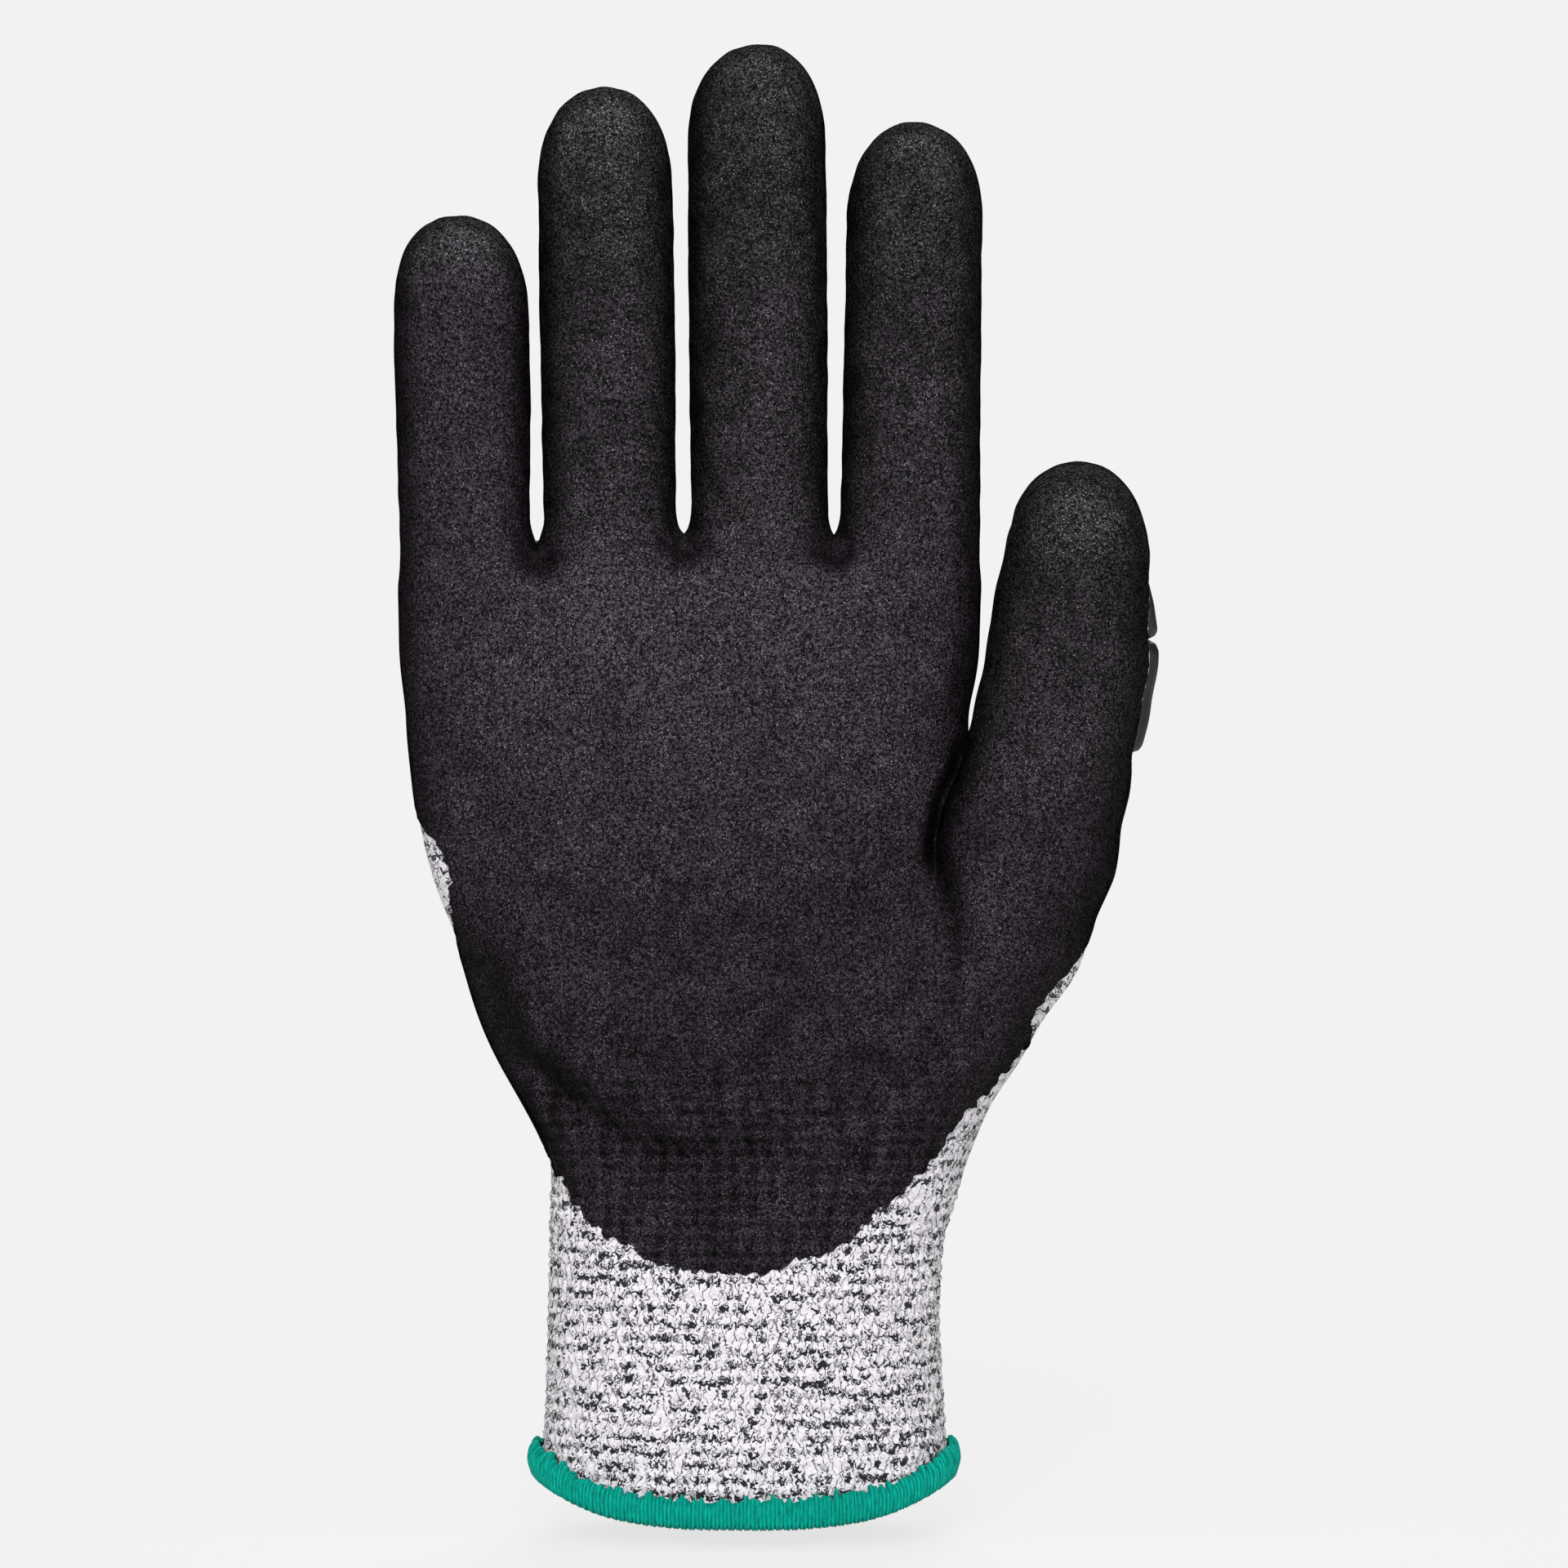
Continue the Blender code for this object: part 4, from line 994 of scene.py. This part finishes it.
def painted_light_of(points):
    """Painted light and shade on the coating: painted shade in folds, at the webs, where the thumb lies
    against the hand and towards the thin lower edge; painted light on the pads, the fingers and their
    tips.
    """
    x, y, z = points.T
    # painted shade towards the thin lower edge and low on the palm, painted light on the ball of the
    # thumb
    painted_light = 0.475 - 0.10 * (1 - rise(z, 44, 40))
    painted_light -= 0.14 * spot(x, 0, 30, z, 76, 16)
    painted_light += 0.20 * spot(x, 44, 10, z, 96, 18)
    # light falls on the pads under the fingers, less on the hollow below them
    pads = np.interp(z, (76, 90, 102, 110, 123, 135, 146, 161, 166, 172, 180, 190),
                     (0.0, -0.05, -0.08, 0.05, 0.32, 0.45, 0.60, 0.60, 0.46, 0.24, 0.10, 0.0))
    painted_light += pads * rise(x, -68, 42) * fall(x, 52, 36)
    # painted shade in the folds of the palm
    d, along, _ = line_distance(x, z, THENAR_FOLD)
    painted_light -= np.interp(along, (0, 0.7, 1), (0.42, 0.34, 0.05)) * bell(d, 1.9) * (y < 0)
    d, along, _ = line_distance(x, z, HEEL_FOLD)
    painted_light -= 0.25 * bell(d, 4.2) * (y < 0) * fall(along, 0.75, 0.3)
    # fingers: painted light in a band on one side, painted shade in a band on the other, painted light on
    # the tips, and a painted level of light for each finger
    finger_painted_light = {"little": 0.08, "ring": -0.06, "middle": -0.04, "index": -0.06}
    for name, finger in FINGERS.items():
        off_axis = x - finger_axis(finger, z)[0]
        below_tip = z - finger.tip_z
        own = finger_painted_light[name] + 0.15 * bell(off_axis - 2.8, 3.4) - 0.03 - 0.14 * bell(off_axis + 9.0, 2.6)
        own = own + 0.80 * rise(below_tip, -9.0, 9.0)
        if name == "ring":
            own = own + 0.26 * rise(below_tip, -17.0, 7.0)
        own = own * rise(z, 160, 16) + 0.16 * rise(below_tip, -16, 12)
        painted_light += np.where((np.abs(off_axis) < FINGER_REACH) & (z > 158), own, 0)
    # thumb: painted shade around its upper joint, painted light on its tip
    painted_light += np.where(on_thumb(points), 0.05 - 0.12 * rise(z, 146, 8) + 0.52 * rise(z, 158, 14), 0)
    # painted shade where the thumb lies against the hand
    near = (x > 28) & (z > 100) & (z < 150)
    spots = x[near], y[near], z[near]
    gap = thumb_distance(*spots) - hand_distance(*spots)
    painted_light[near] -= 0.45 * bell(gap, 2.2) * rise(z[near], 104, 14)
    # painted shade at the webs
    for web_x, web_z in WEBS:
        painted_light -= 0.40 * spot(x, web_x, 2.4, z, web_z - 3, 4)
    return np.maximum(painted_light, 0.12)


def build_coating():
    tris = np.concatenate([quads[:, [0, 1, 2]], quads[:, [0, 2, 3]]])
    rows = np.column_stack([coat_level, knit_rows, normals])
    base, tris, rows, cut = clip(verts, tris, coat_level, rows)
    # the rim goes from the cut line down into the knit
    rim, tris = add_rim(tris, cut, len(base))
    from_edge = np.maximum(rows[:, 0], 0)
    from_edge[rim] = 0
    outward = unit(rows[:, 5:8])
    lift = COAT_LIFT * (0.50 + 0.50 * np.sqrt(smooth(from_edge / 1.5)))
    sheet = base + outward * lift[:, None]
    points = np.concatenate([sheet, (base - outward * 0.35)[rim]])

    def with_rim(values):
        return np.concatenate([values, values[rim]])

    on_liner = with_rim(base)
    # shading normals: those of the sheet, bent over at its edge
    first, second, third = (points[tris[:, i]] for i in range(3))
    face_normal = np.cross(second - first, third - first)
    area_normal = np.zeros_like(points)
    for i in range(3):
        for axis in range(3):
            area_normal[:, axis] += np.bincount(tris[:, i], face_normal[:, axis], len(points))
    tip = 0.8 * np.concatenate([np.exp(-from_edge / 0.5), np.ones(len(rim))])[:, None]
    shading = unit(with_rim(outward) * (1 - tip) + unit(area_normal) * tip)
    attributes = dict(zip(KNIT_KEYS, with_rim(rows)[:, 1:5].T))
    attributes["thin"] = thin_of(on_liner, with_rim(from_edge))
    attributes["painted_light"] = painted_light_of(on_liner)
    attributes["tip_hue_and_glint"] = tip_hue_and_glint_of(on_liner)
    piece_of = regions(on_liner[tris].mean(1))
    for number, (name, replaced, *bend) in enumerate(PIECES):
        ids, faces = pick(len(points), tris, piece_of == number)
        own = {key: values[ids] for key, values in attributes.items()}
        obj = make_mesh(f"coat_{name}", points[ids], faces, COAT, own, shading[ids])
        attach(obj, *bend)
        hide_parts(f"coating_{replaced}")


build_coating()


# ---------------------------------------------------------------- the flat knit
def build_knit():
    """The knit of the hand, where the coating stops; the raised cuff takes over below it."""
    centres = verts[quads].mean(1)
    keep_point = (coat_level < 3.2) | (verts[:, 2] < 92)
    keep = keep_point[quads].any(1) & (centres[:, 2] > 58.0)
    piece_of = regions(centres)
    for number, (name, replaced, *bend) in enumerate(PIECES):
        ids, faces = pick(len(verts), quads, keep & (piece_of == number))
        obj = make_mesh(f"knit_{name}", verts[ids], faces, KNIT,
                        dict(zip(KNIT_KEYS, knit_rows[ids].T)), normals[ids])
        attach(obj, *bend)
        if name != "wrist":
            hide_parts(f"liner_{replaced}")


build_knit()

# ---------------------------------------------------------------- the cuff's surface
COLUMNS_PER_STITCH = 10
COLUMNS = HAND_STITCHES * COLUMNS_PER_STITCH
CUFF_STEP = 0.34
CUFF_TOP = 60.0
RING_GAP = 2.0
CUFF_TURNS = np.arange(COLUMNS) / COLUMNS * 2 * math.pi - math.pi


def cuff_rings():
    """Rings of points on the field, RING_GAP apart in height."""
    heights = np.arange(0, CUFF_TOP + 2.01, RING_GAP)
    turn = np.interp(CUFF_TURNS, CUFF_ARC, CUFF_TURN)
    c, s = np.cos(turn), np.sin(turn)
    out = np.zeros((len(heights), COLUMNS, 3))
    for i, z in enumerate(heights):
        centre_x, centre_y, half_x, half_y, power = section(z)
        radius = (np.abs(c) ** power + np.abs(s) ** power) ** (-1 / power)
        out[i] = np.stack([centre_x + half_x * radius * c, centre_y + half_y * radius * s,
                           np.full(COLUMNS, z)], 1)
    points = out.reshape(-1, 3)
    for _ in range(3):
        slope = gradient(points)
        slope[:, 2] = 0
        square = np.maximum((slope * slope).sum(1), 0.05)
        points = points - (field(points) / square)[:, None] * slope
    return points.reshape(out.shape)


RINGS = cuff_rings()


def hem_height(x):
    """The cuff's lower edge sags at the front and back and lifts at the sides."""
    return 2.8 + 6.9 * np.clip(np.abs(x - 0.2) / 34.5, 0, 1) ** 3.2


def ring_place(heights):
    """The ring below each height, and how far on to the next."""
    t = np.clip(heights / RING_GAP, 0, len(RINGS) - 1.001)
    below = t.astype(int)
    return below, (t - below)[..., None]


# ---------------------------------------------------------------- the cuff's raised stitches
def build_cuff():
    rows = int((CUFF_TOP - 3.0) / CUFF_STEP)
    low = hem_height(RINGS[0, :, 0]) + 2.2
    heights = low[None, :] + (CUFF_TOP - low[None, :]) * (np.arange(rows + 1) / rows)[:, None]
    ring, t = ring_place(heights)
    column = np.broadcast_to(np.arange(COLUMNS), heights.shape)
    base = lerp(RINGS[ring, column], RINGS[ring + 1, column], t)
    base[..., 2] = heights
    across = np.roll(base, -1, 1) - np.roll(base, 1, 1)
    outward = unit(np.cross(across, np.gradient(base, axis=0)))

    # which stitch a point is in, with a random shift for each
    yarn = (CUFF_TURNS[None, :] * HAND_STITCHES * WALE / (2 * math.pi)) + 0 * heights
    around = yarn * 2 * math.pi / WALE
    cell = np.floor(yarn / (WALE / 2)).astype(int)
    cells = 2 * HAND_STITCHES
    jitter = np.random.default_rng(3).random((64, cells + 4))
    course = heights / COURSE + 0.07 * np.sin(around)
    course_row = np.floor(heights / COURSE).astype(int)
    course = course + 0.16 * (jitter[course_row % 64, cell % cells] - 0.5)
    lean = np.sin(course * 2 * math.pi) * np.cos(around)
    strong = 0.65 + 0.7 * jitter[(np.floor(course).astype(int) + 7) % 64, (cell + 3) % cells]

    # the rows wander slowly
    wander_step = 1.2
    wander_shape = (int(70 / wander_step), COLUMNS // (COLUMNS_PER_STITCH * 2))
    wander = np.random.default_rng(9).normal(0, 1, wander_shape)
    row_at = np.clip(heights / wander_step, 0, wander_shape[0] - 1.001)
    column_at = column / (COLUMNS_PER_STITCH * 2.0)
    row_i = row_at.astype(int)
    column_i = column_at.astype(int) % wander_shape[1]
    column_j = (column_i + 1) % wander_shape[1]
    up = smooth(row_at - row_i)
    wandering = lerp(lerp(wander[row_i, column_i], wander[row_i + 1, column_i], up),
                     lerp(wander[row_i, column_j], wander[row_i + 1, column_j], up),
                     smooth(column_at - np.floor(column_at)))
    course = course + 0.16 * wandering

    ridge = np.cos(course * 2 * math.pi)
    stagger = np.cos(2 * around + np.pi * np.floor(course + 0.5))
    fade = fall(heights, CUFF_TOP, 4.0)
    raised = 0.095 * ridge * strong + 0.06 * lean + 0.17 * stagger * (0.6 + 0.4 * ridge) * strong
    hair = np.random.default_rng(11).normal(0, 0.035, heights.shape)
    raised = raised * fade + 0.05 + hair * fade
    points = base + outward * raised[..., None]
    faces = strip_quads(np.arange(heights.size).reshape(heights.shape), wrap_axis=1)
    turns = np.broadcast_to(CUFF_TURNS, heights.shape).ravel()
    knit = (np.cos(turns), np.sin(turns), np.full(heights.size, HAND_SCALE), heights.ravel())
    obj = make_mesh("knit_cuff_stitches", points.reshape(-1, 3), faces, KNIT_RAISED,
                    dict(zip(KNIT_KEYS, knit)))
    attach(obj, *PIECES[0][2:])
    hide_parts("liner_cuff")


build_cuff()

# ---------------------------------------------------------------- the overlocked hem
THREADS = 268
PER_THREAD = 7
PROFILE_POINTS = 30
# a wrapped thread from inside the cuff, under the edge and up the outside: outward, up
THREAD_PROFILE = np.array([
    (-0.9, 5.2), (-1.35, 3.8), (-1.45, 2.2), (-1.15, 0.9), (-0.35, 0.12), (0.55, 0.0),
    (1.25, 0.35), (1.72, 1.1), (1.95, 2.0), (1.98, 3.0), (1.82, 3.9), (1.5, 4.7),
    (1.08, 5.25), (0.62, 5.55), (0.1, 5.4)])


def hem_ring(count):
    """Points along the cuff's lower edge, and their outward directions."""
    turns = np.arange(count) / count * 2 * math.pi - math.pi
    at = (turns + math.pi) / (2 * math.pi) * COLUMNS
    column = np.floor(at).astype(int) % COLUMNS
    aside = (at - np.floor(at))[:, None]
    ring, up = ring_place(hem_height(RINGS[0, column, 0]))
    following = (column + 1) % COLUMNS
    points = lerp(lerp(RINGS[ring, column], RINGS[ring + 1, column], up),
                  lerp(RINGS[ring, following], RINGS[ring + 1, following], up), aside)
    tangent = unit(np.roll(points, -1, 0) - np.roll(points, 1, 0))
    return points, unit(np.cross(tangent, [0, 0, 1.0]))


def build_hem():
    count = THREADS * PER_THREAD
    core, outward = hem_ring(count)
    core[:, 2] = 0
    low = hem_height(core[:, 0])
    thread = np.arange(count) / PER_THREAD
    number = np.floor(thread).astype(int) % THREADS

    # each thread has its own height, thickness and lean; some stand taller
    rng = np.random.default_rng(21)
    tall = 5.0 + rng.uniform(-0.35, 0.35, THREADS)
    tall = tall + 0.5 * (rng.random(THREADS) < 0.22) * rng.uniform(0.2, 1.3, THREADS)
    fat = rng.uniform(0.85, 1.15, THREADS)
    lean = rng.normal(0, 0.10, THREADS)

    stations = np.linspace(0, len(THREAD_PROFILE) - 1, PROFILE_POINTS)
    out, up = (np.interp(stations, range(len(THREAD_PROFILE)), THREAD_PROFILE[:, i]) for i in (0, 1))
    along = unit(np.gradient(np.stack([out, up], 1), axis=0))
    crest = np.sqrt(np.maximum(1 - (2 * (thread - np.floor(thread)) - 1 + 1 / PER_THREAD) ** 2, 0.0))
    upper = rise(up, 3.6, 1.8) * (out > -0.3)
    ends = 1 - 0.35 * rise(up, 4.4, 1.2)
    bulge = (0.38 * crest * fat[number] - 0.16)[:, None] * ends[None, :]
    # a row of small loops along the lowest edge
    loops = bell(up - 0.55, 0.55) * (out > 0)
    bulge = bulge + 0.30 * loops[None, :] * (0.5 + 0.5 * np.cos(thread * 2 * math.pi / 2.0))[:, None]

    swell = 1 + 0.06 * np.sin(thread * 0.21) + 0.04 * np.sin(thread * 0.083 + 1)
    radial = out[None, :] * swell[:, None] + bulge * along[None, :, 1]
    height = 0.84 * up[None, :] * (1 + upper[None, :] * (tall[number] / 5.0 - 1)[:, None] * 1.5)
    height = height - bulge * along[None, :, 0]
    aside = lean[number][:, None] * (up[None, :] / 5.0)
    tangent = np.stack([-outward[:, 1], outward[:, 0], np.zeros(count)], 1)
    points = (core[:, None, :] + outward[:, None, :] * radial[..., None]
              + tangent[:, None, :] * aside[..., None])
    # the band turns up a little more where the cuff is creased flat at its sides
    flare = rise(np.abs(core[:, 0] - 0.2), 27, 7)[:, None]
    points[..., 2] = low[:, None] + height * (1 + 0.10 * flare)
    points += outward[:, None, :] * (0.5 * flare * smooth(height / 5.0))[..., None]

    shape = (count, PROFILE_POINTS)
    faces = strip_quads(np.arange(points[..., 0].size).reshape(shape), wrap_axis=0)
    # crest of each turn, lower under the edge; where it is low the thread takes painted shade
    crest_and_shade = crest[:, None] * (0.55 + 0.45 * rise(up, 0.2, 1.2))[None, :]
    along_thread = np.cumsum(np.full(PROFILE_POINTS, 0.6))
    obj = make_mesh("hem_overlock", points.reshape(-1, 3), faces, HEM,
                    {"thread": np.broadcast_to(thread[:, None], shape).ravel(),
                     "along": np.broadcast_to(along_thread[None], shape).ravel(),
                     "crest_and_shade": crest_and_shade.ravel()})
    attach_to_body(obj, "cuff")
    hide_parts("hem_binding")


build_hem()

# ---------------------------------------------------------------- moulded guards on the back
GUARD_STEP = 0.5
GUARD_THICK = 2.55
BAR_GAP = 3.6             # between grooves on the fingers
FOLD_GAP = 2.6            # from a finger's joint to the nearest plate


def rounded_box(u, v, box, radius):
    """Distance to the edge of a rectangle with rounded corners, positive inside."""
    u0, u1, v0, v1 = box
    out_u = np.abs(u - (u0 + u1) / 2) - (u1 - u0) / 2 + radius
    out_v = np.abs(v - (v0 + v1) / 2) - (v1 - v0) / 2 + radius
    outside = np.hypot(np.maximum(out_u, 0), np.maximum(out_v, 0))
    return -(outside + np.minimum(np.maximum(out_u, out_v), 0) - radius)


def plate(part, body, to_skin, box, corner, grooves, thick_at=lambda v: GUARD_THICK, rounding=1.15):
    """A moulded plate. to_skin turns flat places u, v into points and directions."""
    u0, u1, v0, v1 = box
    across = max(int((u1 - u0 + 1) / GUARD_STEP), 6)
    along = max(int((v1 - v0 + 1) / GUARD_STEP), 6)
    u, v = (flat.ravel() for flat in np.meshgrid(
        np.linspace(u0 - 0.4, u1 + 0.4, across), np.linspace(v0 - 0.4, v1 + 0.4, along),
        indexing="ij"))
    numbers = np.arange(across * along).reshape(across, along)
    net = np.stack([numbers[:-1, :-1], numbers[1:, :-1], numbers[1:, 1:], numbers[:-1, 1:]], -1)
    net = net.reshape(-1, 4)
    tris = np.concatenate([net[:, [0, 1, 2]], net[:, [0, 2, 3]]])
    inner = rounded_box(u, v, box, corner)
    flat, tris, rows, cut = clip(np.stack([u, v, 0 * u], 1), tris, inner, inner[:, None])
    rim, tris = add_rim(tris, cut, len(flat))
    u, v = flat[:, 0], flat[:, 1]
    base, outward = to_skin(u, v)
    from_edge = np.maximum(rows[:, 0], 0)
    from_edge[rim] = 0
    edge = np.sqrt(np.maximum(1 - (1 - np.clip(from_edge / rounding, 0, 1)) ** 2, 0))
    height = thick_at(v) * (0.42 + 0.58 * edge) - grooves(u, v, from_edge)
    points = np.concatenate([base + outward * height[:, None], base[rim] - outward[rim] * 0.5])
    # a painted highlight along the plate's rounded edge, which is also rougher there
    edge_highlight_and_roughness = 0.6 * bell(from_edge - 0.6, 0.5)
    obj = make_mesh(f"{part}_moulded", points, tris, GUARD,
                    {"edge_highlight_and_roughness": np.concatenate([edge_highlight_and_roughness, np.zeros(len(rim))])})
    # faces all turn outward
    bm = bmesh.new()
    bm.from_mesh(obj.data)
    bmesh.ops.recalc_face_normals(bm, faces=bm.faces)
    bm.normal_update()
    total = sum((face.normal * face.calc_area() for face in bm.faces), Vector())
    if total.dot(Vector(np.mean(outward, 0))) < 0:
        bmesh.ops.reverse_faces(bm, faces=bm.faces)
    bm.to_mesh(obj.data)
    bm.free()
    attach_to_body(obj, body)
    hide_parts(part)


def on_back(u, v):
    """Back of the hand: u is x, v is z."""
    centre_x, centre_y, half_x, half_y, power = section(v)
    aside = np.abs((u - centre_x) / half_x).clip(0, 0.985)
    y = centre_y + half_y * np.maximum(1 - aside ** power, 0.01) ** (1 / power)
    points = np.stack([u, y, v], 1)
    for _ in range(8):
        step = field(points) / np.maximum(gradient(points)[:, 1], 0.25)
        points[:, 1] -= np.clip(step, -1.5, 1.5)
    return points, unit(gradient(points))


def reach_skin(centre, direction, radius):
    """Where rays from the centres meet the skin, and the outward directions there."""
    radius = np.full(len(centre), float(radius))
    for _ in range(8):
        points = centre + direction * radius[:, None]
        slope = (gradient(points) * direction).sum(1)
        radius = radius - np.clip(field(points) / np.maximum(slope, 0.3), -2, 2)
    points = centre + direction * radius[:, None]
    return points, unit(gradient(points))


def turned(angle, side, back):
    return np.outer(np.sin(angle), side) + np.outer(np.cos(angle), back)


def on_finger(finger, radius):
    """Skin of a finger: u is millimetres round from the back, v is z."""
    def to_skin(u, v):
        centre_x, centre_y, _ = finger_axis(finger, v)
        direction = turned(u / radius, [1.0, 0, 0], [0, 1.0, 0])
        return reach_skin(np.stack([centre_x, centre_y, v], 1), direction, radius)
    return to_skin


THUMB_RADIUS = 12.4


def on_thumb_tube(u, v):
    """Skin of the thumb: u is millimetres round from its back, v is along from its fold."""
    direction = turned(u / THUMB_RADIUS, THUMB_SIDE, THUMB_BACK)
    return reach_skin(THUMB_FOLD + np.outer(v, THUMB_AIM), direction, THUMB_RADIUS)


def on_thumb_ball(u, v):
    """The back of the thumb's ball: u is millimetres round, v is z."""
    centre = np.stack([np.interp(v, THUMB[:, 2], THUMB[:, i]) for i in (0, 1)] + [v], 1)
    direction = turned(u / 15.0, THUMB_SIDE, THUMB_BACK)
    direction[:, 2] = 0
    return reach_skin(centre, unit(direction), 15.0)


def bars(start, gap, width, depth, margin, slope=0.0, centre=0.0):
    """Grooves across a plate that stop short of its edge; a slope makes them chevrons."""
    def grooves(u, v, from_edge):
        rows = (v - start - np.abs(u - centre) * slope) / gap
        off = np.abs(rows - np.round(rows)) * gap
        groove = depth * (1 - rise(off, width * 0.25, width * 0.5))
        return groove * rise(from_edge, margin, 0.8)
    return grooves


def knuckle_grooves(u, v, from_edge):
    """A groove at each web and a ring on each knuckle."""
    out = np.zeros_like(u)
    for web_x, _ in WEBS:
        out = np.maximum(out, 1.2 * bell(u - web_x, 1.0))
    for finger in FINGERS.values():
        radius = np.hypot((u - finger.root_x) / 1.25, v - 159.5)
        out = np.maximum(out, 0.8 * bell(radius - 4.0, 0.55))
    return out * rise(from_edge, 0.6, 0.8)


# x from, x to, z from, corner radius, x of the chevrons' points
for name, x0, x1, z0, corner, centre in (("radial", 10.5, 29.0, 92.0, 4.0, 19.75),
                                         ("middle", -14.0, 8.5, 84.0, 4.5, -2.75),
                                         ("ulnar", -41.5, -16.0, 92.0, 4.5, -29.0)):
    plate(f"guard_back_{name}", "palm", on_back, (x0, x1, z0, 141.0), corner,
          bars(start=95.0, gap=8.0, width=1.5, depth=1.0, margin=1.8, slope=0.45, centre=centre))
plate("guard_knuckles", "knuckles", on_back, (-49.5, 33.5, 152.5, 165.6), 4.5, knuckle_grooves,
      thick_at=lambda v: GUARD_THICK + 0.2)
for name, finger in FINGERS.items():
    radius = float(np.mean(finger.depths)) + 1.0
    half = radius * math.radians(40)
    fold_1, fold_2 = finger.folds
    for part, z0, z1 in (("proximal", 177.6, fold_1 - FOLD_GAP),
                         ("middle", fold_1 + FOLD_GAP, fold_2 - FOLD_GAP),
                         ("distal", fold_2 + FOLD_GAP, finger.tip_z - 6.5)):
        grooves = bars(start=(z0 + z1) / 2 + BAR_GAP / 2, gap=BAR_GAP, width=1.1, depth=0.8, margin=1.3)
        plate(f"guard_{name}_{part}", f"{name}_{part}", on_finger(finger, radius),
              (-half, half, z0, z1), 2.6, grooves)
half = THUMB_RADIUS * math.radians(42)
plate("guard_thumb_proximal", "thumb_proximal", on_thumb_tube, (-half, half, -5.6, 13.1), 2.2,
      bars(start=4.0, gap=3.8, width=1.1, depth=0.8, margin=1.3),
      thick_at=lambda v: GUARD_THICK + 0.15 - 0.35 * fall(v, 3.0, 8.0), rounding=0.8)
plate("guard_thumb_distal", "thumb_distal", on_thumb_tube, (-half, half, 13.2, 24.2), 2.2,
      bars(start=18.0, gap=3.8, width=1.1, depth=0.7, margin=1.3),
      thick_at=lambda v: GUARD_THICK + 0.15 - 1.75 * rise(v, 13.5, 10.5), rounding=0.8)
plate("guard_thumb_base", "thumb_base", on_thumb_ball, (-8.0, 9.0, 94.6, 125.0), 3.4,
      bars(start=110.0, gap=5.5, width=1.3, depth=0.9, margin=1.8))

# the elastic keeps the frame's own mesh, which may be listed under another object name
elastic = bpy.data.objects.get("cuff_elastic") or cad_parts["cuff_elastic"]
elastic.data.materials.clear()
elastic.data.materials.append(ELASTIC)

# ---------------------------------------------------------------- stage, in metres
scene = bpy.context.scene
scene.view_settings.view_transform = "Standard"
scene.view_settings.look = "None"
PALE = (0.888, 0.888, 0.888)


def stage_material():
    """Glows as pale as the background, and takes a little shadow near the glove."""
    k = Nodes(bpy.data.materials.new("stage_pale"))
    glow = k.add("Emission", {0: PALE})
    matt = k.add("BsdfDiffuse", {0: (0.82, 0.82, 0.82)})
    far = k.add("VectorMath", {0: k.object_mm()}, "Value", operation="LENGTH")
    matt_share = k.ramp(far, over=(60.0, 420.0), to=(0.16, 0.0))
    return k.show(k.add("MixShader", {0: matt_share, 1: glow, 2: matt}))


def build_floor():
    bm = bmesh.new()
    bmesh.ops.create_circle(bm, cap_ends=True, radius=2.6, segments=96)
    mesh = bpy.data.meshes.new("floor")
    bm.to_mesh(mesh)
    bm.free()
    floor = bpy.data.objects.new("floor", mesh)
    floor.location = (0, 0, -0.0006)
    mesh.materials.append(stage_material())
    scene.collection.objects.link(floor)


def build_world():
    """The camera sees a pale backdrop; the glove is lit by a faint one."""
    scene.world = bpy.data.worlds.new("studio")
    k = Nodes(scene.world, "OutputWorld")
    seen = k.add("Background", {0: PALE})
    felt = k.add("Background", {0: (0.98, 0.98, 1.0), 1: 0.14})
    camera_ray = k.add("LightPath", {}, "Is Camera Ray")
    k.show(k.add("MixShader", {0: camera_ray, 1: felt, 2: seen}))


def area(name, where, aim, size, power):
    data = bpy.data.lights.new(name, "AREA")
    data.shape = "RECTANGLE"
    data.size, data.size_y = size
    data.energy = power
    light = bpy.data.objects.new(name, data)
    light.location = where
    light.rotation_euler = (Vector(aim) - Vector(where)).to_track_quat("-Z", "Y").to_euler()
    light.visible_camera = False
    scene.collection.objects.link(light)


build_floor()
build_world()
area("key_soft", where=(-0.22, -1.45, 0.80), aim=(0, 0, 0.13), size=(0.8, 0.7), power=20.5)
area("fill_soft", where=(0.60, -1.35, 0.30), aim=(0, 0, 0.12), size=(0.6, 0.8), power=5.5)
area("top_soft", where=(0.0, -0.35, 1.15), aim=(0, 0, 0.15), size=(0.9, 0.6), power=3.6)
area("back_soft", where=(0.2, 1.3, 0.9), aim=(0, 0, 0.12), size=(1.2, 1.0), power=22.0)

CAMERA_DISTANCE, VIEW_WIDTH = 0.80, 0.2644
lens = bpy.data.cameras.new("camera")
lens.sensor_width = 36
lens.lens = 36 * CAMERA_DISTANCE / VIEW_WIDTH
lens.clip_start, lens.clip_end = 0.05, 20
camera = bpy.data.objects.new("camera", lens)
camera.location = (0.00155, -CAMERA_DISTANCE, 0.1257)
camera.rotation_euler = (math.pi / 2, 0, 0)
scene.collection.objects.link(camera)
scene.camera = camera
